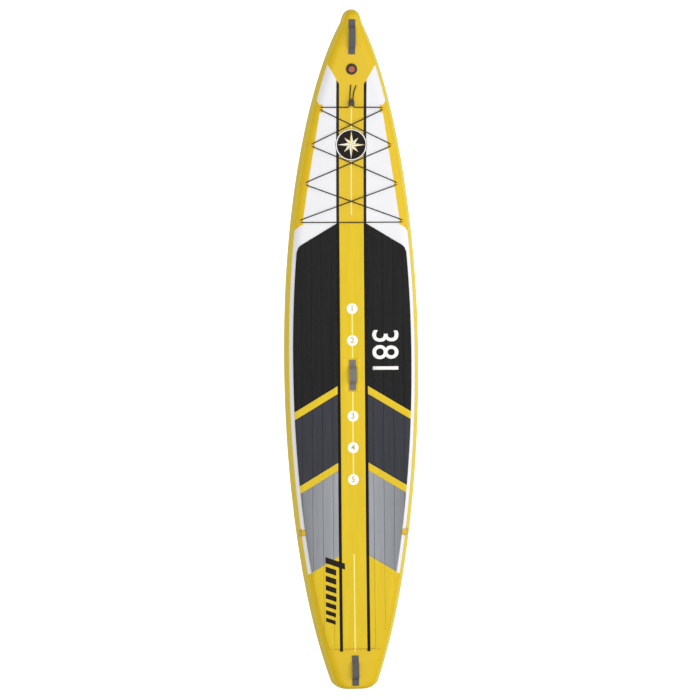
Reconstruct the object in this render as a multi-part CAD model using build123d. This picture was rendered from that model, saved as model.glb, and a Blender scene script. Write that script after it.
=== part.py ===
from build123d import *
import os
from math import asin, cos, degrees, pi, radians, sin, sqrt, tan

# Inflatable touring paddleboard, 12 ft 6 in x 30 in x 6 in.
# Millimetres. +Y points to the nose, +X to starboard, +Z up from the deck.
# The origin is the middle of the flat stretch of the hull's bottom.

os.makedirs("parts", exist_ok=True)

# ---------------------------------------------------------------- driving sizes
board_length = 3810.0
board_width = 762.0
board_thickness = 152.0
widest_y = -60.0

nose_fullness = 2.08
nose_taper = 0.72
nose_tip_radius = 50.0
nose_blend = 6.0
tail_taper_wide = 0.582
tail_taper_late = 0.112
tail_corner_radius = 105.0
tail_corner_x = 44.0
tail_end_round = 20.0
nose_end_round = 50.0

nose_rocker_start = 500.0
nose_rocker_rise = 155.0
tail_rocker_start = -900.0
tail_rocker_rise = 45.0

skin = 2.0
glue_gap = 0.1
rail_tape = 1.8
rail_tape_angle = 47.0
side_wall_angle = 35.0
end_wall = 1.4
core_end_gap = 0.3
valve_pocket_r = 34.0

pad_thickness = 5.0
pad_inset = 48.0
pad_gap = 0.4
stripe_inner = 69.0
stripe_outer = 85.0
chevron_slope = 0.60
front_pad_tip = 711.0
first_chevron_y = -201.0
second_chevron_y = -632.0
chevron_width = 45.0
tail_pad_y = -1156.0
tail_pad_end = -1675.0
tail_pad_half_end = 165.0
stripe_end = -1690.0

strap_width = 38.0
strap_thickness = 2.6
strap_foot = 30.0
strap_ramp = 20.0
strap_bend = 12.0
handle_patch_margin = 3.0
handle_patch_thickness = 1.5
handle_foot_gap = 1.0
handle_patch_reach = 12.0
centre_patch_width = 50.0
centre_grip_length = 54.0
centre_grip_thickness = 7.0
nose_handle_y = 1748.0
nose_handle_length = 195.0
nose_handle_rise = 24.0
centre_handle_y = -140.0
centre_handle_length = 172.0
centre_handle_rise = 33.0
tail_handle_y = -1797.0
tail_handle_length = 170.0
tail_handle_rise = 24.0

cord_d = 6.0
cord_height = 7.6
cord_hump = 8.0
cord_hump_half = 40.0
anchor_half = 7.0
anchor_bend = 6.2
anchor_sites = [(172.0, 1353.0), (218.0, 1150.0), (253.0, 935.0), (284.0, 725.0)]
anchor_patch = 44.0
anchor_patch_thickness = 1.5
loop_width = 7.0
loop_thickness = 1.2
loop_room = 0.8

lock_y = 1382.0
lock_hole_x = 8.5
lock_hole_height = 11.0
lock_length = 26.0
lock_width = 32.0
lock_top = 20.0
lock_bottom = 1.0
lock_neck_length = 12.0
lock_neck_width = 25.0
lock_neck_height = 12.0
lock_entry = 9.0
lock_travel = 3.0

valve_y = 1571.0
flange_r = 31.5
neck_r = 16.0
body_tube_r = 20.0
cap_hinge_y = 29.0
cap_r = 23.0
cap_label_r = 19.5
stem_r = 2.5
valve_bottom = -32.0
valve_throat_r = 12.0
flange_low = 1.2
flange_high = 5.2
spoke_low = -25.0
spoke_high = -21.0
spoke_width = 3.0
cap_hinge_z = 7.0
hinge_pin_r = 1.0
hinge_bore_r = 1.08
hinge_ear_x = 8.4
stem_bottom = -38.0
stem_head_z = -13.0
tether_thickness = 1.2
cap_thickness = 5.0

d_ring_y = -1024.0
d_ring_angle = 55.0
d_ring_wire_r = 2.0
d_ring_half = 17.5
d_ring_depth = 22.0
side_patch_length = 36.0
side_patch_thickness = 1.5
d_loop_wall = 1.4
d_loop_width = 20.0

fin_box_y = -1450.0
fin_box_length = 280.0
fin_box_width = 30.0
fin_box_height = 30.0
fin_slot_width = 10.6
fin_slot_depth = 25.0
fin_thickness = 10.0
fin_base_length = 200.0
fin_depth = 215.0
fin_blade_thickness = 8.0
fin_pin_r = 2.5
fin_screw_r = 2.0
fin_screw_head_r = 4.5
fin_groove_depth = 3.2

# ---------------------------------------------------------------- hull shape
half_length = board_length / 2
half_height = board_thickness / 2
outline_half = board_width / 2 - glue_gap - rail_tape
end_station = half_length - 2 * end_wall - 0.4


def outline(y):
    """Half the hull's width at a station, without the rail tape."""
    if y >= widest_y:
        share = (y - widest_y) / (half_length - widest_y)
        side = outline_half * (1 - share ** nose_fullness) ** nose_taper
        reach = y - (half_length - nose_tip_radius)
        tip = sqrt(max(nose_tip_radius ** 2 - reach ** 2, 0.0))
        return (side ** nose_blend + tip ** nose_blend) ** (1 / nose_blend)
    share = (widest_y - y) / (half_length + widest_y)
    side = outline_half * (1 - tail_taper_wide * share ** 2 - tail_taper_late * share ** 6)
    reach = tail_corner_radius - (y + half_length)
    if reach <= 0:
        return side
    return min(side, tail_corner_x + sqrt(tail_corner_radius ** 2 - reach ** 2))


def arc_rise(run, length, rise):
    """Height of a circular arc that leaves the level and climbs rise over length."""
    if run <= 0:
        return 0.0
    radius = (length ** 2 + rise ** 2) / (2 * rise)
    return radius - sqrt(radius ** 2 - run ** 2)


def rocker(y):
    """Lift of the bottom: level in the middle, an arc to the nose and one to the tail."""
    nose = arc_rise(y - nose_rocker_start, half_length - nose_rocker_start, nose_rocker_rise)
    tail = arc_rise(tail_rocker_start - y, half_length + tail_rocker_start, tail_rocker_rise)
    return nose + tail


def exact_shape(y):
    """Half width, rail depth, half height and mid height of the hull at a station."""
    width = outline(y)
    nose_gap = half_length - y
    tail_gap = half_length + y
    height = half_height
    if nose_gap < nose_end_round:
        height = half_height * sqrt(1 - (1 - nose_gap / nose_end_round) ** 2)
    if tail_gap < tail_end_round:
        height = half_height * sqrt(1 - (1 - tail_gap / tail_end_round) ** 2)
    rail = min(half_height, width - 6.0)
    if tail_gap < tail_corner_radius:
        rail = min(rail, width - 30.0)
    return width, rail, height, half_height + rocker(y)


def all_stations():
    """Stations close together where the plan or the rocker bends."""
    ends = [half_length - end_station, 7.0, 14.0, 25.0, 40.0, 60.0, 85.0, 115.0, 155.0]
    found = [-half_length + gap for gap in ends] + [half_length - gap for gap in ends]
    first = -half_length + ends[-1]
    last = half_length - ends[-1]
    count = 34
    found += [first + (last - first) * i / count for i in range(1, count)]
    found += [tail_rocker_start, nose_rocker_start]
    return sorted(found)


STATIONS = all_stations()
SHAPES = [exact_shape(y) for y in STATIONS]


def hull_shape(y):
    """The hull between two stations is ruled, so its sizes change evenly between them."""
    for i in range(len(STATIONS) - 1):
        if STATIONS[i] <= y <= STATIONS[i + 1]:
            share = (y - STATIONS[i]) / (STATIONS[i + 1] - STATIONS[i])
            return tuple(a + (b - a) * share for a, b in zip(SHAPES[i], SHAPES[i + 1]))
    raise ValueError("station outside the hull")


def stations_between(low, high):
    return [low] + [y for y in STATIONS if low + 0.5 < y < high - 0.5] + [high]


def surface_point(y, angle, offset=0.0):
    """Point on the section at a station: 0 is starboard, 90 is the deck, 180 is port."""
    width, rail, height, middle = hull_shape(y)
    turn = radians(angle)
    flat = width - rail
    side = flat if cos(turn) > 0 else -flat
    return Vector(side + (rail + offset) * cos(turn), y, middle + (height + offset) * sin(turn))


def section_arc(y, start, end, offset):
    """Part of one rail's elliptical arc, as one cubic curve."""
    width, rail, height, middle = hull_shape(y)
    flat = (width - rail) * (1 if cos(radians((start + end) / 2)) > 0 else -1)
    pull = 4 / 3 * tan(radians(end - start) / 4)

    def point(angle):
        turn = radians(angle)
        return Vector(flat + (rail + offset) * cos(turn), y, middle + (height + offset) * sin(turn))

    def slope(angle):
        turn = radians(angle)
        return Vector(-(rail + offset) * sin(turn), 0, (height + offset) * cos(turn))

    first = point(start)
    last = point(end)
    return Bezier(first, first + slope(start) * pull, last - slope(end) * pull, last)


def section_line(y, start, end, offset):
    """Curve along the section from one angle to another, with the flats of deck or bottom."""
    corners = [start] + [a for a in (90.0, 270.0) if start < a < end] + [end]
    pieces = []
    for i in range(len(corners) - 1):
        if pieces:
            turned = section_arc(y, corners[i], corners[i + 1], offset)
            pieces.append(Line(pieces[-1] @ 1, turned @ 0))
            pieces.append(turned)
        else:
            pieces.append(section_arc(y, corners[i], corners[i + 1], offset))
    return pieces


def layer_section(y, start, end, inner, outer):
    """Thin closed section between two offsets from the hull's surface."""
    outside = section_line(y, start, end, outer)
    inside = section_line(y, start, end, inner)
    closing = [Line(outside[-1] @ 1, inside[-1] @ 1), Line(inside[0] @ 0, outside[0] @ 0)]
    return Face(Wire(outside + inside + closing))


def layer(low, high, start, end, inner, outer):
    """Thin shell that follows the hull between two stations and two angles."""
    sections = [layer_section(y, start, end, inner, outer) for y in stations_between(low, high)]
    return Solid.make_loft([s.outer_wire() for s in sections], ruled=True)


def whole_section(y, offset):
    """Closed section of the whole hull at an offset from its surface."""
    right = section_arc(y, -90.0, 0.0, offset)
    upper = section_arc(y, 0.0, 90.0, offset)
    left = section_arc(y, 90.0001, 180.0, offset)
    lower = section_arc(y, 180.0, 269.9999, offset)
    top = Line(upper @ 1, left @ 0)
    bottom = Line(lower @ 1, right @ 0)
    return Wire([right, upper, top, left, lower, bottom])


def surface_plane(y, angle, offset=0.0):
    """Plane on the hull: z out of the surface, x down towards the starboard or port rail."""
    here = surface_point(y, angle, offset)
    step = 0.05 if angle < 90 else -0.05
    down = surface_point(y, angle - step, offset) - here
    along = surface_point(y + 1.0, angle, offset) - here
    normal = down.cross(along)
    if normal.Z < 0:
        normal = -normal
    return Plane(origin=here, x_dir=down.normalized(), z_dir=normal.normalized())


def deck_angle(x, y):
    """Section angle at which the deck's surface stands at a distance from the centre line."""
    width, rail, height, middle = hull_shape(y)
    reach = abs(x) - (width - rail)
    side = 90.0 if reach <= 0 else degrees(asin(sqrt(1 - (reach / rail) ** 2)))
    return side if x >= 0 else 180.0 - side


def deck_z(y):
    width, rail, height, middle = hull_shape(y)
    return middle + height


def deck_plane(y, offset=0.0):
    """Plane on the flat of the deck, with y along it to the nose."""
    slope = (deck_z(y + 1.0) - deck_z(y - 1.0)) / 2
    origin = Vector(0, y, deck_z(y))
    normal = Vector(0, -slope, 1).normalized()
    return Plane(origin=origin + normal * offset, x_dir=(1, 0, 0), z_dir=normal)


def mirrored(solid):
    return mirror(solid, about=Plane.YZ)


def save(name, *solids):
    """Write one sub-part, a single solid or a group of them."""
    found = []
    for shape in solids:
        found += list(shape.solids())
    whole = found[0] if len(found) == 1 else Compound(children=found)
    export_step(whole, "parts/" + name + ".step")


# ---------------------------------------------------------------- hull
def end_plates(offset, first, last, starboard):
    """Half of the nose and tail end walls, which close a wrapped strip."""
    plates = []
    for sign in (-1, 1):
        face = Face(whole_section(sign * end_station, offset))
        wall = extrude(face, amount=last - first, dir=(0, sign, 0)).moved(Location((0, sign * first, 0)))
        side = 1 if starboard else -1
        half = Box(400, 40, 400).moved(Location((side * 200.05, sign * end_station, half_height * 2)))
        plates += list((wall & half).solids())
    return plates


def make_hull():
    low = -end_station
    high = end_station
    seam = 0.1
    save("deck_skin", cut_valve_hole(layer(low, high, side_wall_angle, 180 - side_wall_angle, -skin, 0)))
    bottom = layer(low, high, 180 + side_wall_angle, 360 - side_wall_angle, -skin, 0)
    save("bottom_skin", bottom.clean())
    wall = layer(low, high, -side_wall_angle + seam, side_wall_angle - seam, -skin, 0)
    tape = layer(low, high, -rail_tape_angle, rail_tape_angle, glue_gap, glue_gap + rail_tape)
    for side, starboard in (("left", False), ("right", True)):
        shell = wall if starboard else mirrored(wall)
        band = tape if starboard else mirrored(tape)
        save("side_wall_" + side, shell, *end_plates(0, 0, end_wall, starboard))
        plates = end_plates(glue_gap + rail_tape, end_wall + glue_gap, 2 * end_wall + glue_gap, starboard)
        save("rail_band_" + side, band, *plates)


def valve_plane():
    return deck_plane(valve_y)


def cut_valve_hole(shape):
    drill = Cylinder(body_tube_r + 0.3, 30).moved(Location((0, 0, 0)))
    return shape - valve_plane().location * drill


def core_block(low, high):
    """Drop-stitch fabric between two stations, filling the hull inside its skin."""
    wires = [whole_section(y, -skin - glue_gap) for y in stations_between(low, high)]
    return Solid.make_loft(wires, ruled=True).clean()


def make_core():
    """Three lengths of drop-stitch block: curved tail, level middle and curved nose."""
    end = end_station - core_end_gap
    pocket = Cylinder(valve_pocket_r, 100).moved(Location((0, 0, -8)))
    nose = core_block(nose_rocker_start + glue_gap, end)
    save("drop_stitch_core_nose", nose - valve_plane().location * pocket)
    save("drop_stitch_core_middle", core_block(tail_rocker_start, nose_rocker_start))
    save("drop_stitch_core_tail", core_block(-end, tail_rocker_start - glue_gap))


# ---------------------------------------------------------------- deck pads
def pad_field(low, high):
    """Foam sheet over the deck between two stations, as far out as the pads reach."""
    sheet = layer(low, high, 55.0, 125.0, glue_gap, glue_gap + pad_thickness)
    ys = stations_between(low, high)
    right = [(hull_shape(y)[0] + rail_tape - pad_inset, y) for y in ys]
    left = [(-x, y) for x, y in reversed(right)]
    plan = make_face(Polyline(*(right + left), close=True))
    return sheet & extrude(plan.moved(Location((0, 0, 60))), amount=320)


def chevron_band(front, back):
    """Starboard plan between two lines that sweep back from the stripe."""
    reach = 420.0
    drop = chevron_slope * (reach - stripe_outer)
    inner = stripe_outer + pad_gap
    corners = [(inner, front), (reach, front - drop), (reach, back - drop), (inner, back)]
    return make_face(Polyline(*corners, close=True))


def rectangle_plan(x_low, x_high, y_low, y_high):
    corners = [(x_low, y_low), (x_high, y_low), (x_high, y_high), (x_low, y_high)]
    return make_face(Polyline(*corners, close=True))


def cut_out(sheet, plan):
    return sheet & extrude(plan.moved(Location((0, 0, 60))), amount=320)


def make_pads():
    field = pad_field(tail_pad_end - 20, front_pad_tip)
    bands = {
        "front_pad": (front_pad_tip, first_chevron_y + pad_gap),
        "front_chevron": (first_chevron_y, first_chevron_y - chevron_width + pad_gap),
        "middle_pad": (first_chevron_y - chevron_width, second_chevron_y + pad_gap),
        "rear_chevron": (second_chevron_y, second_chevron_y - chevron_width + pad_gap),
        "rear_pad": (second_chevron_y - chevron_width, tail_pad_y + pad_gap),
    }
    for name, (front, back) in bands.items():
        pad = cut_out(field, chevron_band(front, back))
        save(name + "_right", pad)
        save(name + "_left", mirrored(pad))
    drop = chevron_slope * (420.0 - stripe_outer)
    inner = stripe_outer + pad_gap
    tail_plan = Polyline(
        (inner, tail_pad_y), (420.0, tail_pad_y - drop), (420.0, tail_pad_end + 30),
        (tail_pad_half_end + 15, tail_pad_end + 22), (tail_pad_half_end, tail_pad_end),
        (inner, tail_pad_end), close=True)
    tail_pad = cut_out(field, make_face(tail_plan))
    save("tail_pad_right", tail_pad)
    save("tail_pad_left", mirrored(tail_pad))
    stripe = cut_out(field, rectangle_plan(stripe_inner, stripe_outer, stripe_end, front_pad_tip))
    save("pinstripe_right", stripe)
    save("pinstripe_left", mirrored(stripe))
    reach = stripe_inner - pad_gap
    centre = cut_out(field, rectangle_plan(-reach, reach, tail_pad_end, front_pad_tip))
    well = rectangle_plan(-27, 27, centre_handle_y - 94, centre_handle_y + 94)
    save("centre_pad", centre - extrude(well.moved(Location((0, 0, 60))), amount=320))


# ---------------------------------------------------------------- carry handles
def handle_plane(y, length, offset):
    """Plane through the deck under both feet, y along the handle to the nose."""
    front = Vector(0, y + length / 2, deck_z(y + length / 2))
    back = Vector(0, y - length / 2, deck_z(y - length / 2))
    along = (front - back).normalized()
    normal = Vector(1, 0, 0).cross(along)
    return Plane(origin=(front + back) * 0.5 + normal * offset, x_dir=(1, 0, 0), z_dir=normal)


def strap(length, rise, width, thickness):
    """Webbing that lies flat at both ends and arches up between them, on the local y."""
    half = length / 2
    ramp = half - strap_foot
    top = ramp - strap_ramp
    middle = thickness / 2
    path = FilletPolyline(
        (0, -half, middle), (0, -ramp, middle), (0, -top, rise), (0, top, rise),
        (0, ramp, middle), (0, half, middle), radius=strap_bend)
    profile = Plane(origin=path @ 0, x_dir=(1, 0, 0), z_dir=path % 0) * Rectangle(width, thickness)
    return sweep(profile, path=path)


def handle_patches(y, length, width, thickness):
    """A glued patch under each end of a strap, following the deck."""
    reach = strap_foot + handle_patch_reach
    found = []
    for sign in (-1, 1):
        outer = y + sign * (length / 2 + handle_patch_margin)
        inner = outer - sign * reach
        low = min(outer, inner)
        high = max(outer, inner)
        sheet = layer(low, high, 80.0, 100.0, glue_gap, glue_gap + thickness)
        found.append(cut_out(sheet, rectangle_plan(-width / 2, width / 2, low - 5, high + 5)))
    return found


def make_handles():
    for name, y, length, rise in (
        ("nose_handle", nose_handle_y, nose_handle_length, nose_handle_rise),
        ("tail_handle", tail_handle_y, tail_handle_length, tail_handle_rise),
    ):
        save(name + "_patches", *handle_patches(y, length, strap_width + 10, handle_patch_thickness))
        lift = handle_patch_thickness + handle_foot_gap
        place = handle_plane(y, length, lift).location
        save(name + "_strap", place * strap(length, rise, strap_width, strap_thickness))
    y = centre_handle_y
    length = centre_handle_length
    save("centre_handle_patches", *handle_patches(y, length, centre_patch_width, pad_thickness - 1.0))
    place = handle_plane(y, length, pad_thickness - 0.6).location
    save("centre_handle_strap", place * strap(length, centre_handle_rise, strap_width, strap_thickness))
    under = centre_handle_rise - strap_thickness / 2 - 0.1
    pad = Box(
        strap_width - 5, centre_grip_length, centre_grip_thickness,
        align=(Align.CENTER, Align.CENTER, Align.MAX))
    pad = fillet(pad.edges().filter_by(Axis.Y).sort_by(Axis.Z)[:2], 3.2)
    save("centre_handle_padding", place * pad.moved(Location((0, 0, under))))


# ---------------------------------------------------------------- bungee
def anchor_plane(side, site):
    """Plane on the deck at one anchor, x out towards the rail, z off the deck."""
    x, y = anchor_sites[site]
    angle = deck_angle(x, y)
    return surface_plane(y, angle if side > 0 else 180.0 - angle)


def anchor_points(side, site, towards_tail):
    """The two points at which the cord turns inside a loop, in the order it meets them."""
    plane = anchor_plane(side, site)
    centre = plane.origin + plane.z_dir * cord_height
    nose_point = centre + Vector(0, anchor_half, 0)
    tail_point = centre - Vector(0, anchor_half, 0)
    return [nose_point, tail_point] if towards_tail else [tail_point, nose_point]


def hump_points(start, end):
    """Two points that lift a stretch over the one that it crosses at the centre line."""
    found = []
    direction = 1 if end.X > start.X else -1
    for x in (-cord_hump_half * direction, cord_hump_half * direction):
        share = (x - start.X) / (end.X - start.X)
        found.append(start + (end - start) * share + Vector(0, 0, cord_hump))
    return found


def lock_point(side, along):
    """Point on one of the lock's two holes, a distance along the lock from its middle."""
    plane = deck_plane(lock_y)
    return plane.origin + plane.y_dir * along + plane.z_dir * lock_hole_height + Vector(side * lock_hole_x, 0, 0)


def cord_route():
    """Corner points from the port tail, round the eight loops, to the starboard tail."""
    mouth = lock_length / 2 + lock_neck_length - 4
    entry = -lock_length / 2 - lock_entry
    left_tail = [
        Vector(-4.0, 1482.0, deck_z(1482.0) + 3.6),
        Vector(-5.5, 1462.0, deck_z(1462.0) + 3.6),
        Vector(-7.5, 1442.0, deck_z(1442.0) + 4.2),
        Vector(-8.6, 1422.0, deck_z(1422.0) + 8.4),
        lock_point(-1, mouth),
    ]
    right_tail = [
        lock_point(1, mouth),
        Vector(9.4, 1424.0, deck_z(1424.0) + 8.4),
        Vector(13.0, 1444.0, deck_z(1444.0) + 4.2),
        Vector(19.0, 1462.0, deck_z(1462.0) + 3.6),
        Vector(26.0, 1479.0, deck_z(1479.0) + 3.6),
    ]
    down = []
    for site, side in enumerate((-1, 1, -1, 1)):
        down += anchor_points(side, site, True)
    up = anchor_points(-1, 3, False)
    for site, side in ((2, 1), (1, -1), (0, 1)):
        turn = anchor_points(side, site, False)
        up += hump_points(up[-1], turn[0]) + turn
    route = left_tail + [lock_point(-1, entry)]
    route += down + up
    return route + [lock_point(1, entry)] + right_tail


def cord_radii(route):
    """Each arc is as large as its two runs allow, and small inside the loops and at the lock."""
    radii = []
    for before, here, after in zip(route, route[1:], route[2:]):
        run_in = here - before
        run_out = after - here
        turn = radians(run_in.get_angle(run_out))
        shorter = min(run_in.length, run_out.length)
        largest = 0.45 * shorter / tan(turn / 2)
        radii.append(anchor_bend if turn > radians(40) else min(largest, 4000.0))
    return radii


def make_cord():
    route = cord_route()
    radii = cord_radii(route)
    path = FilletPolyline(*route, radius=radii)
    profile = Plane(origin=path @ 0, z_dir=path % 0) * Circle(cord_d / 2)
    tube = sweep(profile, path=path)
    expected = pi * (cord_d / 2) ** 2 * path.length
    print("cord length", round(path.length, 1), "volume share", round(tube.volume / expected, 4))
    print("cord radii", [round(r, 1) for r in radii])
    print("cord route", [tuple(round(v, 1) for v in p) for p in route])
    save("bungee_cord", tube)


def anchor_loop():
    """Webbing folded round the cord and sewn down towards the rail, cord along y at z 0."""
    inner = cord_d / 2 + loop_room
    outer = inner + loop_thickness
    outline_out = Circle(outer) + Pos(5, 0) * Rectangle(10, 2 * outer)
    outline_in = Circle(inner) + Pos(3.5, 0) * Rectangle(7, 2 * inner)
    ring = extrude(Plane.XZ * (outline_out - outline_in), amount=loop_width / 2, both=True)
    tab = Box(16, 18, 2.4, align=(Align.MIN, Align.CENTER, Align.MIN))
    tab = chamfer(tab.edges().filter_by(Axis.Z).sort_by(Axis.X)[:2], 5.0)
    return ring + tab.moved(Location((6, 0, -outer)))


def make_anchors():
    loops = []
    patches = []
    for site, (x, y) in enumerate(anchor_sites):
        plane = anchor_plane(1, site)
        centre = plane.origin + plane.z_dir * cord_height
        down = Vector(plane.x_dir.X, 0, plane.x_dir.Z).normalized()
        level = Plane(origin=centre, x_dir=down, z_dir=down.cross(Vector(0, 1, 0)))
        loop = level.location * anchor_loop()
        start = deck_angle(x + anchor_patch / 2 + 6, y)
        half = anchor_patch / 2
        thickness = anchor_patch_thickness
        sheet = layer(y - half, y + half, start, 95.0, glue_gap, glue_gap + thickness)
        plan = rectangle_plan(x - half + 10, x + half + 30, y - half - 5, y + half + 5)
        patch = cut_out(sheet, plan)
        loops += [loop, mirrored(loop)]
        patches += [patch, mirrored(patch)]
    save("bungee_loops", *loops)
    save("bungee_patches", *patches)


# ---------------------------------------------------------------- cord lock
def lock_frame():
    """Frame on the deck under the lock, z off the deck and y to the nose."""
    return deck_plane(lock_y).location


def level_box(x_size, y_size, z_low, z_high, x=0.0, y=0.0):
    return Box(x_size, y_size, z_high - z_low).moved(Location((x, y, (z_low + z_high) / 2)))


def cord_holes(lift_low, lift_high, width):
    """Two slots along y for the cord, stretched in height from low to high."""
    found = []
    for side in (-1, 1):
        span = lift_high - lift_low
        middle = lock_hole_height + (lift_low + lift_high) / 2
        plan = Rectangle(width, span) + Pos(0, span / 2) * Circle(width / 2)
        plan = plan + Pos(0, -span / 2) * Circle(width / 2) if span > 0 else Circle(width / 2)
        hole = extrude(Plane.XZ * plan, amount=60, both=True)
        found.append(hole.moved(Location((side * lock_hole_x, 0, middle))))
    return found


def make_cord_lock():
    blade_x = 27.4
    blade_y = 12.0
    blade_low = 6.4
    body = level_box(lock_width, lock_length, lock_bottom, lock_top)
    body = fillet(body.edges().filter_by(Axis.Z), 6.0)
    body = fillet(body.edges().group_by(Axis.Z)[-1], 2.0)
    neck_y = lock_length / 2 + lock_neck_length / 2
    neck_low = lock_hole_height - lock_neck_height / 2
    neck_high = lock_hole_height + lock_neck_height / 2
    neck = level_box(lock_neck_width, lock_neck_length + 2, neck_low, neck_high, y=neck_y - 1)
    neck = fillet(neck.edges().filter_by(Axis.Y), 4.0)
    body = body + neck
    body = body - level_box(blade_x + 0.6, blade_y + 0.6, 3.0, lock_top + 1)
    for hole in cord_holes(0.0, 0.0, cord_d + 0.8):
        body = body - hole
    save("cord_lock_barrel", lock_frame() * body)

    blade = level_box(blade_x, blade_y, blade_low, lock_top + 4.0)
    blade = fillet(blade.edges().filter_by(Axis.Z), 3.0)
    for hole in cord_holes(0.0, lock_travel + 0.4, cord_d + 0.6):
        blade = blade - hole
    spring_seat = Cylinder(3.6, 8.0, align=(Align.CENTER, Align.CENTER, Align.MIN))
    blade = blade - spring_seat.moved(Location((0, 0, blade_low)))
    save("cord_lock_plunger", lock_frame() * blade)

    save("cord_lock_spring", lock_frame() * coil_spring(3.0, 0.35, 3.5, 14.0, 6))


def coil_spring(radius, wire_r, low, high, turns):
    """Round-wire compression spring standing on z."""
    height = high - low - 2 * wire_r
    path = Helix(pitch=height / turns, height=height, radius=radius)
    profile = Plane(origin=path @ 0, z_dir=path % 0) * Circle(wire_r)
    return sweep(profile, path=path, is_frenet=True).moved(Location((0, 0, low + wire_r)))


# ---------------------------------------------------------------- inflation valve
def turned(points):
    """Solid of revolution about z from its half profile in radius and height."""
    face = Plane.XZ * make_face(Polyline(*points, close=True))
    return revolve(face, axis=Axis.Z)


def ring(outer, inner, low, high):
    return turned([(inner, low), (outer, low), (outer, high), (inner, high)])


def make_valve():
    place = valve_plane().location
    body = turned([
        (neck_r, -14.0), (valve_throat_r, -18.0), (valve_throat_r, valve_bottom), (body_tube_r, valve_bottom),
        (body_tube_r, flange_low), (flange_r - 1.0, flange_low), (flange_r, flange_low + 1.0),
        (flange_r, flange_high - 2.2), (flange_r - 2.2, flange_high), (neck_r, flange_high)])
    hub = ring(5.5, stem_r + 0.08, spoke_low, spoke_high)
    arm = level_box(2 * valve_throat_r + 1, spoke_width, spoke_low, spoke_high) - Cylinder(4.0, 80)
    body = body + hub + arm + Rot(0, 0, 90) * arm
    pin_hole = Cylinder(hinge_bore_r, 30, rotation=(0, 90, 0))
    pin_hole = pin_hole.moved(Location((0, cap_hinge_y, cap_hinge_z)))
    for side in (-1, 1):
        ear = level_box(3.0, 5.0, flange_high - 0.5, cap_hinge_z + 2.0, x=side * hinge_ear_x, y=cap_hinge_y - 0.5)
        body = body + (ear - pin_hole)
    save("valve_body", place * body)
    save("valve_gasket", place * ring(flange_r - 3.0, body_tube_r + 0.4, glue_gap, flange_low - 0.1))
    save("valve_nut", place * ring(30.0, body_tube_r + 0.08, -12.0, -skin - 1.0))

    stem = turned([
        (0, stem_bottom), (stem_r, stem_bottom), (stem_r, stem_head_z), (5.0, stem_head_z),
        (5.0, stem_head_z + 2.0), (4.0, stem_head_z + 3.0), (0, stem_head_z + 3.0)])
    foot = ring(6.0, stem_r, stem_bottom, stem_bottom + 1.7)
    save("valve_stem", place * (stem + foot))
    save("valve_disc", place * ring(15.5, stem_r + 0.05, stem_bottom + 1.8, valve_bottom - 0.2))
    save("valve_spring", place * coil_spring(4.0, 0.5, spoke_high + 0.2, stem_head_z - 0.1, 4))

    tether_low = flange_high + 0.3
    tether_high = tether_low + tether_thickness
    cap_low = tether_high + 0.3
    cap_high = cap_low + cap_thickness
    cap = turned([
        (0, 1.0), (14.6, 1.0), (15.2, 1.6), (15.2, 2.2), (13.8, 2.2), (13.8, 4.4), (15.2, 4.4),
        (15.2, tether_low - 0.1), (15.6, tether_low - 0.1), (15.6, cap_low), (cap_r, cap_low),
        (cap_r, cap_high - 1.5), (cap_r - 1.5, cap_high), (cap_label_r + 0.1, cap_high),
        (cap_label_r + 0.1, cap_high - 0.9), (0, cap_high - 0.9)])
    save("valve_cap", place * cap)
    save("cap_label", place * ring(cap_label_r, 0.0, cap_high - 0.8, cap_high - 0.1))
    o_ring = Torus(14.85, 0.95).moved(Location((0, 0, 3.3)))
    save("cap_o_ring", place * o_ring)

    tether = ring(24.0, 15.68, tether_low, tether_high)
    arm = level_box(12.0, 12.0, tether_low, tether_high, y=22.5)
    knuckle = Cylinder(1.7, 13.0, rotation=(0, 90, 0)).moved(Location((0, cap_hinge_y, cap_hinge_z)))
    tongue = level_box(12.0, 4.0, tether_low, cap_hinge_z + 0.5, y=cap_hinge_y - 2.0)
    strap_ring = tether + (arm - Cylinder(20.0, 40)) + tongue + knuckle
    save("cap_strap", place * (strap_ring - pin_hole))
    pin = Cylinder(hinge_pin_r, 19.0, rotation=(0, 90, 0)).moved(Location((0, cap_hinge_y, cap_hinge_z)))
    save("cap_hinge_pin", place * pin)


# ---------------------------------------------------------------- side D-rings
def side_patch():
    """Starboard patch, thick over the deck and thin over the edge of the rail tape."""
    low = d_ring_y - side_patch_length / 2
    high = d_ring_y + side_patch_length / 2
    step = rail_tape + 2 * glue_gap
    top = step + side_patch_thickness
    upper = layer(low, high, rail_tape_angle + 0.3, 66.0, glue_gap, top)
    lower = layer(low, high, 24.0, rail_tape_angle + 0.8, step, top)
    return upper + lower


def ring_plane():
    """Plane at the D-ring's straight bar, x down the rail, y to the nose."""
    bar_height = rail_tape + 2 * glue_gap + side_patch_thickness + 0.8 + d_loop_wall + d_ring_wire_r
    place = surface_plane(d_ring_y, d_ring_angle, bar_height)
    down = Vector(place.x_dir.X, 0, place.x_dir.Z).normalized()
    return Plane(origin=place.origin, x_dir=down, z_dir=down.cross(Vector(0, 1, 0)))


def d_ring():
    """Round-wire D, its straight bar on the local y axis."""
    half = d_ring_half
    shoulder = d_ring_depth * 0.45
    path = FilletPolyline(
        (0, half), (shoulder, half), (d_ring_depth, half * 0.45),
        (d_ring_depth, -half * 0.45), (shoulder, -half), (0, -half), radius=5, close=True)
    profile = Plane(origin=path @ 0, z_dir=path % 0) * Circle(d_ring_wire_r)
    return sweep(profile, path=path)


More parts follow.
